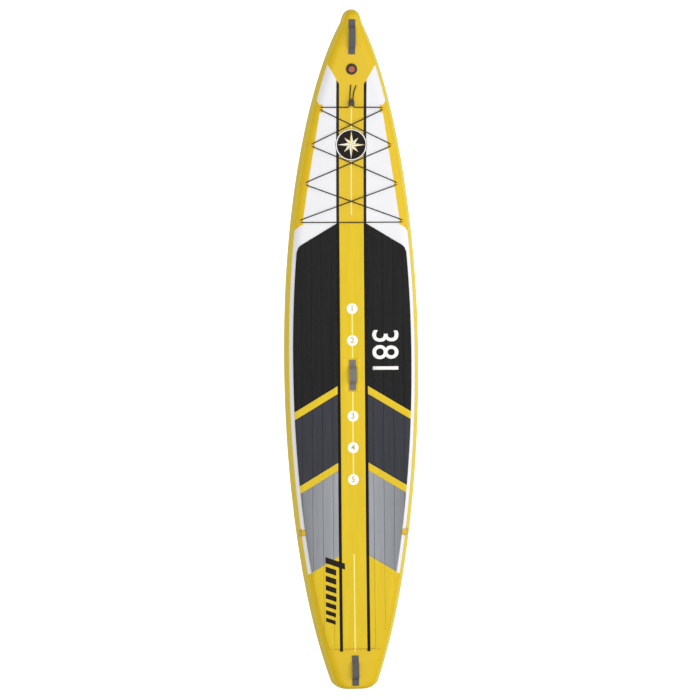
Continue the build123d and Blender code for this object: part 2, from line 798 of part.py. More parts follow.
def d_ring_loop():
    """Webbing folded round the bar and sewn to the patch up the deck from it."""
    outer = d_ring_wire_r + d_loop_wall
    sleeve = Cylinder(outer, d_loop_width, rotation=(90, 0, 0))
    tab = level_box(17.0, d_loop_width, -outer, 2 * d_loop_wall - outer, x=-9.5)
    web = level_box(9.0, d_loop_width, -outer, 0.6, x=-4.5)
    bore = Cylinder(d_ring_wire_r + 0.08, 60, rotation=(90, 0, 0))
    return sleeve + tab + web - bore


def make_side_rings():
    place = ring_plane().location
    for name, shape in (
        ("side_patch", side_patch()),
        ("side_ring", place * d_ring()),
        ("side_loop", place * d_ring_loop()),
    ):
        save(name + "_right", shape)
        save(name + "_left", mirrored(shape))


# ---------------------------------------------------------------- fin
def fin_plane():
    """Plane on the bottom at the middle of the fin box, z down into the water, y to the nose."""
    slope = (rocker(fin_box_y + 60) - rocker(fin_box_y - 60)) / 120
    down = Vector(0, slope, -1).normalized()
    return Plane(origin=(0, fin_box_y, rocker(fin_box_y)), x_dir=(-1, 0, 0), z_dir=down)


def make_fin_box():
    """Glued base and channel. Grooves in the channel's walls take the pin and the nut plate."""
    low = fin_box_y - fin_box_length / 2
    high = fin_box_y + fin_box_length / 2
    patch = layer(low - 45, high + 45, 240.0, 300.0, glue_gap, 1.5)
    patch_plan = rectangle_plan(-80, 80, low - 60, high + 60)
    save("fin_box_patch", patch & extrude(patch_plan.moved(Location((0, 0, -60))), amount=160))
    base = layer(low - 15, high + 15, 240.0, 300.0, 1.6, 4.6)
    base_plan = rectangle_plan(-45, 45, low - 30, high + 30)
    base = base & extrude(base_plan.moved(Location((0, 0, -60))), amount=160)
    top = fin_box_height
    channel = level_box(fin_box_width, fin_box_length, 3.2, top)
    channel = fillet(channel.edges().filter_by(Axis.Z), 10.0)
    channel = channel - level_box(fin_slot_width, fin_box_length - 14, top - fin_slot_depth, top + 1)
    groove_width = fin_slot_width + 2 * fin_groove_depth
    grooves = level_box(groove_width, fin_box_length - 14, top - 14.0, top - 8.2)
    entry = level_box(groove_width, 20.0, top - 14.0, top + 1, y=fin_box_length / 2 - 20)
    channel = channel - grooves - entry
    save("fin_box", base + fin_plane().location * channel)


def make_fin():
    place = fin_plane().location
    top = fin_box_height
    rear = -fin_base_length / 2 - 10
    front = rear + fin_base_length
    tab_low = top - fin_slot_depth + 1.0
    tab = level_box(fin_thickness, fin_base_length - 30, tab_low, top + 1.5, y=(rear + front) / 2 - 15)
    nose_tab = level_box(fin_thickness, 26.0, top - 7.6, top + 1.5, y=front - 20)
    pin_y = rear + 14
    pin_z = top - 11.1
    low = top + 0.8
    blade_line = [
        Spline((front - 4, low), (front - 62, low + 92), (rear - 38, low + fin_depth - 6),
               tangents=[(-0.28, 1), (-1, 0.75)]),
        Spline((rear - 38, low + fin_depth - 6), (rear - 52, low + fin_depth - 18),
               (rear - 12, low + 96), (rear, low),
               tangents=[(-1, 0.4), (0.05, -1)])]
    closing = Line((rear, low), (front - 4, low))
    face = Plane.YZ * make_face([blade_line[0], blade_line[1], closing])
    blade = extrude(face, amount=fin_blade_thickness / 2, both=True)
    fin = tab + nose_tab + blade
    screw_y = front - 18
    pin_hole = Cylinder(fin_pin_r + 0.05, 40, rotation=(0, 90, 0)).moved(Location((0, pin_y, pin_z)))
    screw_hole = Cylinder(fin_screw_r + 0.4, 60).moved(Location((0, screw_y, top)))
    head_room = Cylinder(fin_screw_head_r + 0.4, 60, align=(Align.CENTER, Align.CENTER, Align.MIN))
    fin = fin - pin_hole - screw_hole - head_room.moved(Location((0, screw_y, top - 2.0)))
    save("fin", place * fin)
    pin = Cylinder(fin_pin_r, 15.4, rotation=(0, 90, 0)).moved(Location((0, pin_y, pin_z)))
    save("fin_pin", place * pin)
    plate = level_box(16.0, 14.0, top - 13.6, top - 10.4, y=screw_y)
    plate = plate - Cylinder(fin_screw_r + 0.05, 60).moved(Location((0, screw_y, top)))
    save("fin_nut_plate", place * plate)
    screw = turned([
        (0, -16.0), (fin_screw_r, -16.0), (fin_screw_r, -1.9), (fin_screw_head_r, -1.9),
        (fin_screw_head_r, 1.2), (0, 1.2)])
    slot = level_box(1.2, 12.0, 0.2, 2.0)
    save("fin_screw", place * (screw - slot).moved(Location((0, screw_y, top))))


def main():
    make_hull()
    make_core()
    make_pads()
    make_handles()
    make_anchors()
    make_cord()
    make_cord_lock()
    make_valve()
    make_side_rings()
    make_fin_box()
    make_fin()


main()
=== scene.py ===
import math
import bmesh
import bpy
from mathutils import Matrix, Vector


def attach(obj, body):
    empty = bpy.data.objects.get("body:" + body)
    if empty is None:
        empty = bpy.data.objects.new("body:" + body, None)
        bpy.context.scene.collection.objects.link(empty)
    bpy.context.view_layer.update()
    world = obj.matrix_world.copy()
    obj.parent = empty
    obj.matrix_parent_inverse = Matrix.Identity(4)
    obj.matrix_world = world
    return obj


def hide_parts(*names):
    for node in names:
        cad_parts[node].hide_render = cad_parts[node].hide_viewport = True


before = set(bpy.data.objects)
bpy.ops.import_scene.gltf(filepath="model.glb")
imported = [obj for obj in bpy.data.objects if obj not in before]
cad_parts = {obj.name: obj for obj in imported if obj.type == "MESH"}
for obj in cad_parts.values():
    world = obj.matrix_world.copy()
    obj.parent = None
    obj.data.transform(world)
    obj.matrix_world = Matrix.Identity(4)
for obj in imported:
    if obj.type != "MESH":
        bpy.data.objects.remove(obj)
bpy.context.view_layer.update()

# ---------------------------------------------------------------- sizes of the board, metres
HALF_LENGTH = 1.905
HALF_THICK = 0.076
TAPE = 0.0018
TAPE_GAP = 0.0001
OUTLINE_HALF = 0.381 - TAPE - TAPE_GAP
WIDEST_Y = -0.060
TIP_RADIUS = 0.050
NOSE_FULLNESS = 2.08
NOSE_TAPER = 0.72
NOSE_BLEND = 6
TAIL_NARROWING = 0.582
TAIL_PULL_IN = 0.112
TAIL_CORNER = 0.105
TAIL_CORNER_X = 0.0482
NOSE_ROUND = 0.050
TAIL_ROUND = 0.020
# Where each rocker starts from the middle, how long it is and how far it rises.
NOSE_ROCKER = (0.500, 1.405, 0.155)
TAIL_ROCKER = (0.900, 1.005, 0.045)
LEAST_DECK_HALF = 0.006
LEAST_RAIL_SHARE = 0.6
TAIL_DECK_HALF = 0.030
TAPE_REACH = 0.0556
DECK_REACH = 0.0490
SKIN = 0.002

PAD_LIFT = 0.0002
PAD_THICK = 0.005
PAD_ROUND = 0.0013
PAD_INSET = 0.0462
PAD_FRONT = 0.711
PAD_BACK = -1.675
STRIPE_BACK = -1.690
STRIPE_INNER = 0.069
STRIPE_OUTER = 0.085
PAD_GAP = 0.0004
SWEEP = 0.60
GROOVES = (0.115, 0.1725, 0.230, 0.287)


# ---------------------------------------------------------------- the board's surface
def outline(y):
    """Half the hull's width at a station."""
    if y >= WIDEST_Y:
        share = min((y - WIDEST_Y) / (HALF_LENGTH - WIDEST_Y), 1.0)
        side = OUTLINE_HALF * (1 - share ** NOSE_FULLNESS) ** NOSE_TAPER
        reach = y - (HALF_LENGTH - TIP_RADIUS)
        tip = math.sqrt(max(TIP_RADIUS ** 2 - reach ** 2, 0.0))
        return (side ** NOSE_BLEND + tip ** NOSE_BLEND) ** (1 / NOSE_BLEND)
    share = (WIDEST_Y - y) / (HALF_LENGTH + WIDEST_Y)
    side = OUTLINE_HALF * (1 - TAIL_NARROWING * share ** 2 - TAIL_PULL_IN * share ** 6)
    reach = TAIL_CORNER - (y + HALF_LENGTH)
    if reach <= 0:
        return side
    return min(side, TAIL_CORNER_X + math.sqrt(max(TAIL_CORNER ** 2 - reach ** 2, 0.0)))


def climb(run, length, rise):
    """Height of an arc that leaves the level and climbs rise over length."""
    if run <= 0:
        return 0.0
    radius = (length ** 2 + rise ** 2) / (2 * rise)
    return radius - math.sqrt(radius ** 2 - run ** 2)


def rocker(y):
    """Rise of the bottom at a station above its level middle."""
    rise = 0.0
    for run, (start, length, height) in ((y, NOSE_ROCKER), (-y, TAIL_ROCKER)):
        rise += climb(run - start, length, height)
    return rise


def section(y):
    """Half width, rail depth and half height of the hull at a station."""
    width = outline(y)
    nose_gap = max(HALF_LENGTH - y, 0.0)
    tail_gap = max(HALF_LENGTH + y, 0.0)
    height = HALF_THICK
    for gap, end_round in ((nose_gap, NOSE_ROUND), (tail_gap, TAIL_ROUND)):
        if gap < end_round:
            height *= math.sqrt(1 - (1 - gap / end_round) ** 2)
    rail = min(HALF_THICK, max(width - LEAST_DECK_HALF, width * LEAST_RAIL_SHARE))
    if tail_gap < TAIL_CORNER:
        rail = min(rail, width - TAIL_DECK_HALF)
    return width, rail, height


def deck_height(x, y):
    """Height of the deck cloth at a plan position."""
    width, rail, height = section(y)
    reach = min(max(abs(x) - (width - rail), 0.0) / rail, 0.995)
    return HALF_THICK + rocker(y) + height * math.sqrt(1 - reach ** 2)


def on_deck(x, y, lift):
    """Point at a height off the deck, square to its surface."""
    step = 0.0005
    z = deck_height(x, y)
    slope_x = (deck_height(x + step, y) - deck_height(x - step, y)) / (2 * step)
    slope_y = (deck_height(x, y + step) - deck_height(x, y - step)) / (2 * step)
    normal = Vector((-slope_x, -slope_y, 1)).normalized()
    return Vector((x, y, z)) + normal * lift


# First station, gap and count of the evenly spaced rows between the rounded ends.
EVEN_ROWS = ((-1.885, 0.0075, 14), (-1.780, 0.020, 179), (1.790, 0.009, 7))


def hull_rows():
    """Stations from tail to nose, closest where the ends are rounded."""
    rows = [-HALF_LENGTH + TAIL_ROUND * (1 - math.cos(math.radians(a))) for a in range(0, 90, 9)]
    for start, gap, count in EVEN_ROWS:
        rows += [start + gap * i for i in range(count)]
    rows += [HALF_LENGTH - NOSE_ROUND * (1 - math.cos(math.radians(a))) for a in range(90, -1, -6)]
    return rows


HULL_ROWS = hull_rows()
ARC_COLUMNS = 32
FLAT_COLUMNS = 18
HALF_COLUMNS = ARC_COLUMNS + FLAT_COLUMNS
HULL_COLUMNS = 2 * HALF_COLUMNS


def hull_ring_point(column, y, offset):
    """Point on the level hull's section, counted round from under the starboard rail."""
    width, rail, height = section(y)
    flat = width - rail
    side = 1 if column % HULL_COLUMNS < HALF_COLUMNS else -1
    place = column % HALF_COLUMNS
    turn = math.radians(-90 + 180 * min(place / ARC_COLUMNS, 1.0))
    x = flat + (rail + offset) * math.cos(turn)
    z = (height + offset) * math.sin(turn)
    if place > ARC_COLUMNS:
        x = flat * (1 - 2 * (place - ARC_COLUMNS) / FLAT_COLUMNS)
        z = height + offset
    end = HALF_LENGTH - TAPE - TAPE_GAP
    return Vector((side * x, min(max(y, -end), end), HALF_THICK + side * z))


# ---------------------------------------------------------------- working by hand, in code
def put_down():
    """Leave edit mode with nothing selected."""
    if bpy.context.object and bpy.context.object.mode != "OBJECT":
        bpy.ops.object.mode_set(mode="OBJECT")
    bpy.ops.object.select_all(action="DESELECT")


def pick_up(obj):
    """Select one piece, in object mode."""
    put_down()
    obj.select_set(True)
    bpy.context.view_layer.objects.active = obj


def edit(obj):
    """Take one piece into edit mode with all of it selected."""
    pick_up(obj)
    bpy.ops.object.mode_set(mode="EDIT")
    bpy.ops.mesh.select_mode(type="VERT")
    bpy.ops.mesh.select_all(action="SELECT")


def choose(obj, kind, rule):
    """Select the faces, edges or vertices of the piece in hand that a rule picks; says how many."""
    bpy.ops.mesh.select_all(action="DESELECT")
    bpy.ops.mesh.select_mode(type=kind)
    shape = bmesh.from_edit_mesh(obj.data)
    parts = {"FACE": shape.faces, "EDGE": shape.edges, "VERT": shape.verts}[kind]
    count = 0
    for part in parts:
        if rule(part):
            part.select_set(True)
            count += 1
    bmesh.update_edit_mesh(obj.data)
    return count


def cut_across(place, facing):
    """Cut all of the piece in hand along a plane and keep both sides."""
    bpy.ops.mesh.select_all(action="SELECT")
    bpy.ops.mesh.bisect(plane_co=place, plane_no=facing, use_fill=False)


def name_it(name, obj=None):
    obj = obj or bpy.context.object
    obj.name = name
    obj.data.name = name
    return obj


def start_grid(name, across, along):
    put_down()
    bpy.ops.mesh.primitive_grid_add(x_subdivisions=across, y_subdivisions=along, size=1.0)
    return name_it(name)


def place_points(obj, rule):
    """Set every vertex from its share across and along the grid it started on."""
    for vertex in obj.data.vertices:
        vertex.co = rule(vertex.co.x + 0.5, vertex.co.y + 0.5)


def finish_with(obj, kind, **settings):
    """Add a modifier and apply it."""
    pick_up(obj)
    modifier = obj.modifiers.new(kind.lower(), kind)
    for key, value in settings.items():
        setattr(modifier, key, value)
    bpy.ops.object.modifier_apply(modifier=modifier.name)


def thicken(obj, thickness, side=1.0, even=True):
    finish_with(obj, "SOLIDIFY", thickness=thickness, offset=side, use_even_offset=even)


def soften_edges(obj, width, segments=2, angle=50):
    finish_with(obj, "BEVEL", width=width, segments=segments, limit_method="ANGLE",
                angle_limit=math.radians(angle), harden_normals=False)


def smooth(obj, angle=35):
    pick_up(obj)
    bpy.ops.object.shade_smooth_by_angle(angle=math.radians(angle))


def face_out():
    """Turn all faces of the piece in hand outwards and put it down."""
    bpy.ops.mesh.select_all(action="SELECT")
    bpy.ops.mesh.normals_make_consistent(inside=False)
    put_down()


def face_up(obj):
    """Turn all faces of a flat piece upwards."""
    edit(obj)
    face_out()
    if sum(face.normal.z for face in obj.data.polygons) < 0:
        edit(obj)
        bpy.ops.mesh.flip_normals()
        put_down()


def weld(obj, distance=0.00003):
    """Merge a piece's doubled vertices, then turn its faces outwards."""
    edit(obj)
    bpy.ops.mesh.remove_doubles(threshold=distance)
    face_out()


def copy_piece(obj, name):
    twin = obj.copy()
    twin.data = obj.data.copy()
    bpy.context.scene.collection.objects.link(twin)
    return name_it(name, twin)


def mirror_piece(obj, name):
    """The port twin of a starboard piece, with its own mesh."""
    twin = copy_piece(obj, name)
    edit(twin)
    bpy.ops.transform.resize(value=(-1, 1, 1), center_override=(0, 0, 0))
    bpy.ops.mesh.flip_normals()
    put_down()
    return twin


def join_pieces(pieces, name):
    put_down()
    for piece in pieces:
        piece.select_set(True)
    bpy.context.view_layer.objects.active = pieces[0]
    bpy.ops.object.join()
    return name_it(name)


def settle(obj, place):
    """Put a piece made upright at the origin where it belongs, with its place in its mesh."""
    obj.data.transform(place)
    obj.matrix_world = Matrix.Identity(4)


def fit(obj, body, finishes, replaced=()):
    """Give a piece its finishes, its body and the plain solids it stands for."""
    if finishes:
        kept = [face.material_index for face in obj.data.polygons]
        obj.data.materials.clear()
        for finish in finishes:
            obj.data.materials.append(finish)
        for face, index in zip(obj.data.polygons, kept):
            face.material_index = min(index, len(finishes) - 1)
    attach(obj, body)
    if replaced:
        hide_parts(*replaced)
    return obj


def tilted_frame(origin, y_axis, z_axis):
    """Placing matrix from an origin and where a piece's y and z point."""
    y_dir = Vector(y_axis).normalized()
    z_dir = Vector(z_axis).normalized()
    x_dir = y_dir.cross(z_dir)
    turn = Matrix((x_dir, y_dir, z_dir)).transposed().to_4x4()
    return Matrix.Translation(origin) @ turn


# ---------------------------------------------------------------- shared surface effects
def srgb(*channels):
    """Colour for a shader from red, green and blue out of 255."""
    shares = [value / 255 for value in channels]
    return tuple(c / 12.92 if c <= 0.04045 else ((c + 0.055) / 1.055) ** 2.4 for c in shares) + (1.0,)


def add(tree, kind, values=None, **settings):
    """New node with its settings and the values of its inputs."""
    made = tree.nodes.new(kind)
    for key, value in settings.items():
        setattr(made, key, value)
    for key, value in (values or {}).items():
        made.inputs[key].default_value = value
    return made


def join(tree, source, target):
    tree.links.new(source, target)


def new_effect(name, inputs, outputs):
    effect = bpy.data.node_groups.new(name, "ShaderNodeTree")
    for label, kind, value in inputs:
        socket = effect.interface.new_socket(name=label, in_out="INPUT", socket_type=kind)
        if value is not None:
            socket.default_value = value
    for label, kind in outputs:
        effect.interface.new_socket(name=label, in_out="OUTPUT", socket_type=kind)
    return effect, effect.nodes.new("NodeGroupInput"), effect.nodes.new("NodeGroupOutput")


def feed(tree, value, target):
    """Set a socket to a plain value, or link it to another node's output."""
    if isinstance(value, (int, float, tuple)):
        target.default_value = value
    else:
        join(tree, value, target)


def maths(tree, operation, first, *second):
    made = add(tree, "ShaderNodeMath", operation=operation)
    for index, value in enumerate((first, *second)):
        feed(tree, value, made.inputs[index])
    return made.outputs[0]


def make_weave():
    """Crossing threads: height of the cloth and a tint that follows each thread."""
    tree, given, out = new_effect(
        "thread_weave",
        [("Vector", "NodeSocketVector", None), ("Pitch", "NodeSocketFloat", 300.0),
         ("Skew", "NodeSocketFloat", 0.0)],
        [("Height", "NodeSocketFloat"), ("Tint", "NodeSocketFloat")])
    turn = add(tree, "ShaderNodeVectorRotate", rotation_type="Z_AXIS")
    join(tree, given.outputs["Vector"], turn.inputs["Vector"])
    join(tree, given.outputs["Skew"], turn.inputs["Angle"])
    waves = []
    for direction in ("X", "Y"):
        wave = add(tree, "ShaderNodeTexWave", {"Distortion": 0.15, "Detail": 1.0},
                   wave_type="BANDS", bands_direction=direction)
        join(tree, turn.outputs[0], wave.inputs["Vector"])
        join(tree, given.outputs["Pitch"], wave.inputs["Scale"])
        waves.append(wave.outputs["Fac"])
    join(tree, maths(tree, "MAXIMUM", waves[0], waves[1]), out.inputs["Height"])
    join(tree, maths(tree, "MULTIPLY", waves[0], waves[1]), out.inputs["Tint"])
    return tree


def make_mottle():
    """Slow uneven patches, as in dye, dust and handling, with a finer layer on top."""
    tree, given, out = new_effect(
        "handled_mottle",
        [("Vector", "NodeSocketVector", None), ("Size", "NodeSocketFloat", 4.0),
         ("Stretch", "NodeSocketFloat", 1.0)],
        [("Mask", "NodeSocketFloat"), ("Fine", "NodeSocketFloat")])
    apart = add(tree, "ShaderNodeSeparateXYZ")
    back = add(tree, "ShaderNodeCombineXYZ")
    join(tree, given.outputs["Vector"], apart.inputs[0])
    join(tree, apart.outputs[0], back.inputs[0])
    join(tree, maths(tree, "MULTIPLY", apart.outputs[1], given.outputs["Stretch"]), back.inputs[1])
    join(tree, apart.outputs[2], back.inputs[2])
    for label, factor, detail in (("Mask", 1.0, 3.0), ("Fine", 34.0, 4.0)):
        noise = add(tree, "ShaderNodeTexNoise", {"Detail": detail, "Roughness": 0.6})
        join(tree, back.outputs[0], noise.inputs["Vector"])
        join(tree, maths(tree, "MULTIPLY", given.outputs["Size"], factor), noise.inputs["Scale"])
        join(tree, noise.outputs["Fac"], out.inputs[label])
    return tree


def make_grain():
    """Pebbled moulding grain or cut foam cells, with a few deeper pits."""
    tree, given, out = new_effect(
        "cell_grain",
        [("Vector", "NodeSocketVector", None), ("Cells", "NodeSocketFloat", 900.0)],
        [("Height", "NodeSocketFloat")])
    cells = add(tree, "ShaderNodeTexVoronoi", {"Randomness": 1.0}, feature="F1")
    cloud = add(tree, "ShaderNodeTexNoise", {"Detail": 3.0, "Roughness": 0.7})
    for made in (cells, cloud):
        join(tree, given.outputs["Vector"], made.inputs["Vector"])
        join(tree, given.outputs["Cells"], made.inputs["Scale"])
    half = maths(tree, "MULTIPLY", cloud.outputs["Fac"], 0.8)
    join(tree, maths(tree, "ADD", cells.outputs["Distance"], half), out.inputs["Height"])
    return tree


def make_rubbed():
    """Edges that hands, sand and the car roof have rubbed: 1 on sharp outward edges."""
    tree, given, out = new_effect(
        "rubbed_edges",
        [("Vector", "NodeSocketVector", None), ("Amount", "NodeSocketFloat", 0.5)],
        [("Mask", "NodeSocketFloat")])
    shape = add(tree, "ShaderNodeNewGeometry")
    spread = add(tree, "ShaderNodeMapRange", {"From Min": 0.52, "From Max": 0.62})
    join(tree, shape.outputs["Pointiness"], spread.inputs["Value"])
    patches = add(tree, "ShaderNodeTexNoise", {"Scale": 45.0, "Detail": 3.0})
    join(tree, given.outputs["Vector"], patches.inputs["Vector"])
    uneven = maths(tree, "MULTIPLY", spread.outputs["Result"], patches.outputs["Fac"])
    join(tree, maths(tree, "MULTIPLY", uneven, given.outputs["Amount"]), out.inputs["Mask"])
    return tree


WEAVE = make_weave()
MOTTLE = make_mottle()
GRAIN = make_grain()
RUBBED = make_rubbed()


class Finish:
    """One material while it is being built: its tree, its shader and where patterns read from."""

    def __init__(self, name, roughness, metallic=0.0, use_uv=False, **constants):
        self.material = bpy.data.materials.new(name)
        self.material.use_nodes = True
        self.tree = self.material.node_tree
        self.shader = self.tree.nodes["Principled BSDF"]
        self.shader.inputs["Roughness"].default_value = roughness
        self.shader.inputs["Metallic"].default_value = metallic
        for key, value in constants.items():
            self.shader.inputs[key.replace("_", " ")].default_value = value
        coordinates = add(self.tree, "ShaderNodeTexCoord")
        self.where = coordinates.outputs["UV" if use_uv else "Object"]

    def effect(self, group, **values):
        made = add(self.tree, "ShaderNodeGroup", node_tree=group)
        for key, value in values.items():
            made.inputs[key].default_value = value
        join(self.tree, self.where, made.inputs["Vector"])
        return made.outputs

    def maths(self, operation, *values):
        return maths(self.tree, operation, *values)

    def between(self, mask, low, high):
        """A number that follows a mask from low to high."""
        spread = add(self.tree, "ShaderNodeMapRange",
                     {"From Min": 0.3, "From Max": 0.7, "To Min": low, "To Max": high})
        join(self.tree, mask, spread.inputs["Value"])
        return spread.outputs["Result"]

    def blend(self, mask, first, second):
        """A colour that follows a mask; either colour may itself come from a blend."""
        mix = add(self.tree, "ShaderNodeMix", data_type="RGBA")
        join(self.tree, mask, mix.inputs["Factor"])
        for index, colour in ((6, first), (7, second)):
            feed(self.tree, colour, mix.inputs[index])
        return mix.outputs[2]

    def colour(self, source):
        join(self.tree, source, self.shader.inputs["Base Color"])

    def roughness(self, source):
        join(self.tree, source, self.shader.inputs["Roughness"])

    def bump(self, height, strength, distance):
        relief = add(self.tree, "ShaderNodeBump", {"Strength": strength, "Distance": distance})
        join(self.tree, height, relief.inputs["Height"])
        join(self.tree, relief.outputs["Normal"], self.shader.inputs["Normal"])


def shade(colour, factor, lift=0.0, most=4.0):
    """A colour made lighter or darker, never brighter than most."""
    return tuple(min(channel * factor + lift, most) for channel in colour[:3]) + (1.0,)


def coated_cloth(name, colour, gloss=0.40, threads=420.0):
    """Welded PVC on woven cloth: the weave shows faintly through a satin skin."""
    finish = Finish(name, gloss, Coat_Weight=0.02, Coat_Roughness=0.3, Specular_IOR_Level=0.2)
    weave = finish.effect(WEAVE, Pitch=threads)
    mottle = finish.effect(MOTTLE, Size=3.0, Stretch=0.35)
    rubbed = finish.effect(RUBBED, Amount=0.35)
    slow = finish.blend(finish.between(mottle["Mask"], 0.0, 1.0), shade(colour, 0.965), colour)
    threaded = finish.blend(finish.maths("MULTIPLY", weave["Tint"], 0.06), slow, shade(colour, 0.72))
    finish.colour(finish.blend(rubbed["Mask"], threaded, shade(colour, 1.25, most=1.0)))
    finish.roughness(finish.between(mottle["Fine"], gloss - 0.05, gloss + 0.07))
    uneven = finish.maths("MULTIPLY", mottle["Fine"], 0.5)
    finish.bump(finish.maths("ADD", weave["Height"], uneven), 0.18, 0.0003)
    return finish.material


def brushed_foam(name, colour, contrast=0.10, rail_shade=0.0):
    """Brushed closed-cell foam: a nap drawn along the board, cut cells, almost no gloss.

    rail_shade darkens it towards the rails: painted shade for light falling off away from the middle.
    """
    finish = Finish(name, 0.86, Sheen_Weight=0.06, Sheen_Roughness=0.45, Specular_IOR_Level=0.22)
    nap = finish.effect(MOTTLE, Size=60.0, Stretch=0.05)
    slow = finish.effect(MOTTLE, Size=5.0, Stretch=0.25)
    cells = finish.effect(GRAIN, Cells=750.0)
    rubbed = finish.effect(RUBBED, Amount=0.5)
    base = finish.blend(finish.between(nap["Mask"], 0.0, 1.0),
                        shade(colour, 1 - contrast), shade(colour, 1 + contrast))
    handled = finish.maths("MULTIPLY", finish.between(slow["Mask"], 0.0, 1.0), 0.35)
    patch = finish.blend(handled, base, shade(colour, 0.88))
    # Painted shade: the colour darkens with distance from the middle line, out towards the rails.
    if rail_shade:
        apart = add(finish.tree, "ShaderNodeSeparateXYZ")
        join(finish.tree, finish.where, apart.inputs[0])
        out = add(finish.tree, "ShaderNodeMapRange", {"From Min": 0.10, "From Max": 0.34, "To Max": rail_shade})
        join(finish.tree, finish.maths("ABSOLUTE", apart.outputs[0]), out.inputs["Value"])
        patch = finish.blend(out.outputs["Result"], patch, shade(colour, 0.3))
    finish.colour(finish.blend(rubbed["Mask"], patch, shade(colour, 1.3)))
    finish.roughness(finish.between(slow["Fine"], 0.78, 0.93))
    finish.bump(finish.maths("ADD", cells["Height"], nap["Fine"]), 0.55, 0.0005)
    return finish.material


def webbing(name, colour, thread_pitch=9.0, skew=0.0, use_uv=True):
    """Woven nylon tape, its ribs running with the piece's own map."""
    finish = Finish(name, 0.72, use_uv=use_uv, Sheen_Weight=0.15, Sheen_Roughness=0.4,
                    Specular_IOR_Level=0.35)
    weave = finish.effect(WEAVE, Pitch=thread_pitch, Skew=skew)
    mottle = finish.effect(MOTTLE, Size=5.0 if use_uv else 60.0)
    rubbed = finish.effect(RUBBED, Amount=0.6)
    ribs = finish.blend(weave["Height"], shade(colour, 0.55), shade(colour, 1.15))
    worn = finish.blend(finish.between(mottle["Mask"], 0.0, 0.3), ribs, shade(colour, 1.35))
    finish.colour(finish.blend(rubbed["Mask"], worn, shade(colour, 1.8)))
    finish.roughness(finish.between(mottle["Fine"], 0.62, 0.82))
    finish.bump(weave["Height"], 0.7, 0.0006)
    return finish.material


def moulded(name, colour, gloss=0.42, cells=1400.0):
    """Injection-moulded plastic or rubber with a fine pebble and scuffed edges."""
    finish = Finish(name, gloss)
    pebble = finish.effect(GRAIN, Cells=cells)
    mottle = finish.effect(MOTTLE, Size=40.0)
    rubbed = finish.effect(RUBBED, Amount=0.8)
    base = finish.blend(finish.between(mottle["Mask"], 0.0, 1.0), shade(colour, 0.88), shade(colour, 1.12))
    finish.colour(finish.blend(rubbed["Mask"], base, shade(colour, 1.8, 0.03, 1.0)))
    finish.roughness(finish.between(mottle["Fine"], gloss - 0.08, gloss + 0.12))
    finish.bump(pebble["Height"], 0.25, 0.0002)
    return finish.material


def bare_metal(name, colour, gloss=0.28):
    """Drawn or turned metal with fine hairlines and slight staining."""
    finish = Finish(name, gloss, metallic=1.0)
    lines = finish.effect(MOTTLE, Size=900.0, Stretch=0.04)
    stain = finish.effect(MOTTLE, Size=60.0)
    finish.colour(finish.blend(finish.between(stain["Mask"], 0.0, 1.0), shade(colour, 0.82), colour))
    finish.roughness(finish.between(stain["Fine"], gloss - 0.06, gloss + 0.14))
    finish.bump(lines["Mask"], 0.15, 0.0001)
    return finish.material


YELLOW_CLOTH = coated_cloth("yellow_coated_cloth", srgb(226, 190, 26))
WHITE_CLOTH = coated_cloth("white_coated_cloth", srgb(236, 236, 239))
BLACK_PRINT = coated_cloth("black_printed_stripe", srgb(26, 22, 16), gloss=0.55)
RAIL_CLOTH = coated_cloth("rail_tape_cloth", srgb(226, 200, 66), gloss=0.34, threads=300.0)
YELLOW_FOAM = brushed_foam("yellow_deck_foam", srgb(228, 196, 44), 0.05)
STRIPE_FOAM = brushed_foam("stripe_black_foam", srgb(25, 21, 15), 0.12)
BLACK_FOAM = brushed_foam("black_deck_foam", srgb(31, 31, 32), 0.18)
# Both grey pads are darkened towards the rails: painted shade for light falling off from the middle.
DARK_FOAM = brushed_foam("dark_grey_deck_foam", srgb(59, 61, 68), 0.12, rail_shade=0.12)
LIGHT_FOAM = brushed_foam("light_grey_deck_foam", srgb(160, 163, 168), 0.09, rail_shade=0.62)
# Darker copies of the foams for the walls of the routed grooves: painted shade in the grooves.
GROOVE_SHADE_FOAM = {
    YELLOW_FOAM: brushed_foam("yellow_foam_groove_shade", srgb(204, 172, 42), 0.05),
    BLACK_FOAM: brushed_foam("black_foam_groove_shade", srgb(20, 20, 20), 0.05),
    DARK_FOAM: brushed_foam("dark_grey_foam_groove_shade", srgb(44, 45, 51), 0.05),
    LIGHT_FOAM: brushed_foam("light_grey_foam_groove_shade", srgb(112, 114, 118), 0.05, rail_shade=0.5)}
WHITE_INK = brushed_foam("white_deck_print", srgb(248, 247, 243), 0.02)
CREAM_INK = brushed_foam("cream_deck_line", srgb(250, 232, 140), 0.02)
OCHRE_INK = brushed_foam("ochre_deck_print", srgb(205, 186, 110), 0.04)
# Black print; the same finish also paints the shadow dots at the tail pad's corners.
BLACK_INK_AND_SHADOW = brushed_foam("black_deck_print_and_shadow", srgb(34, 29, 24), 0.10)
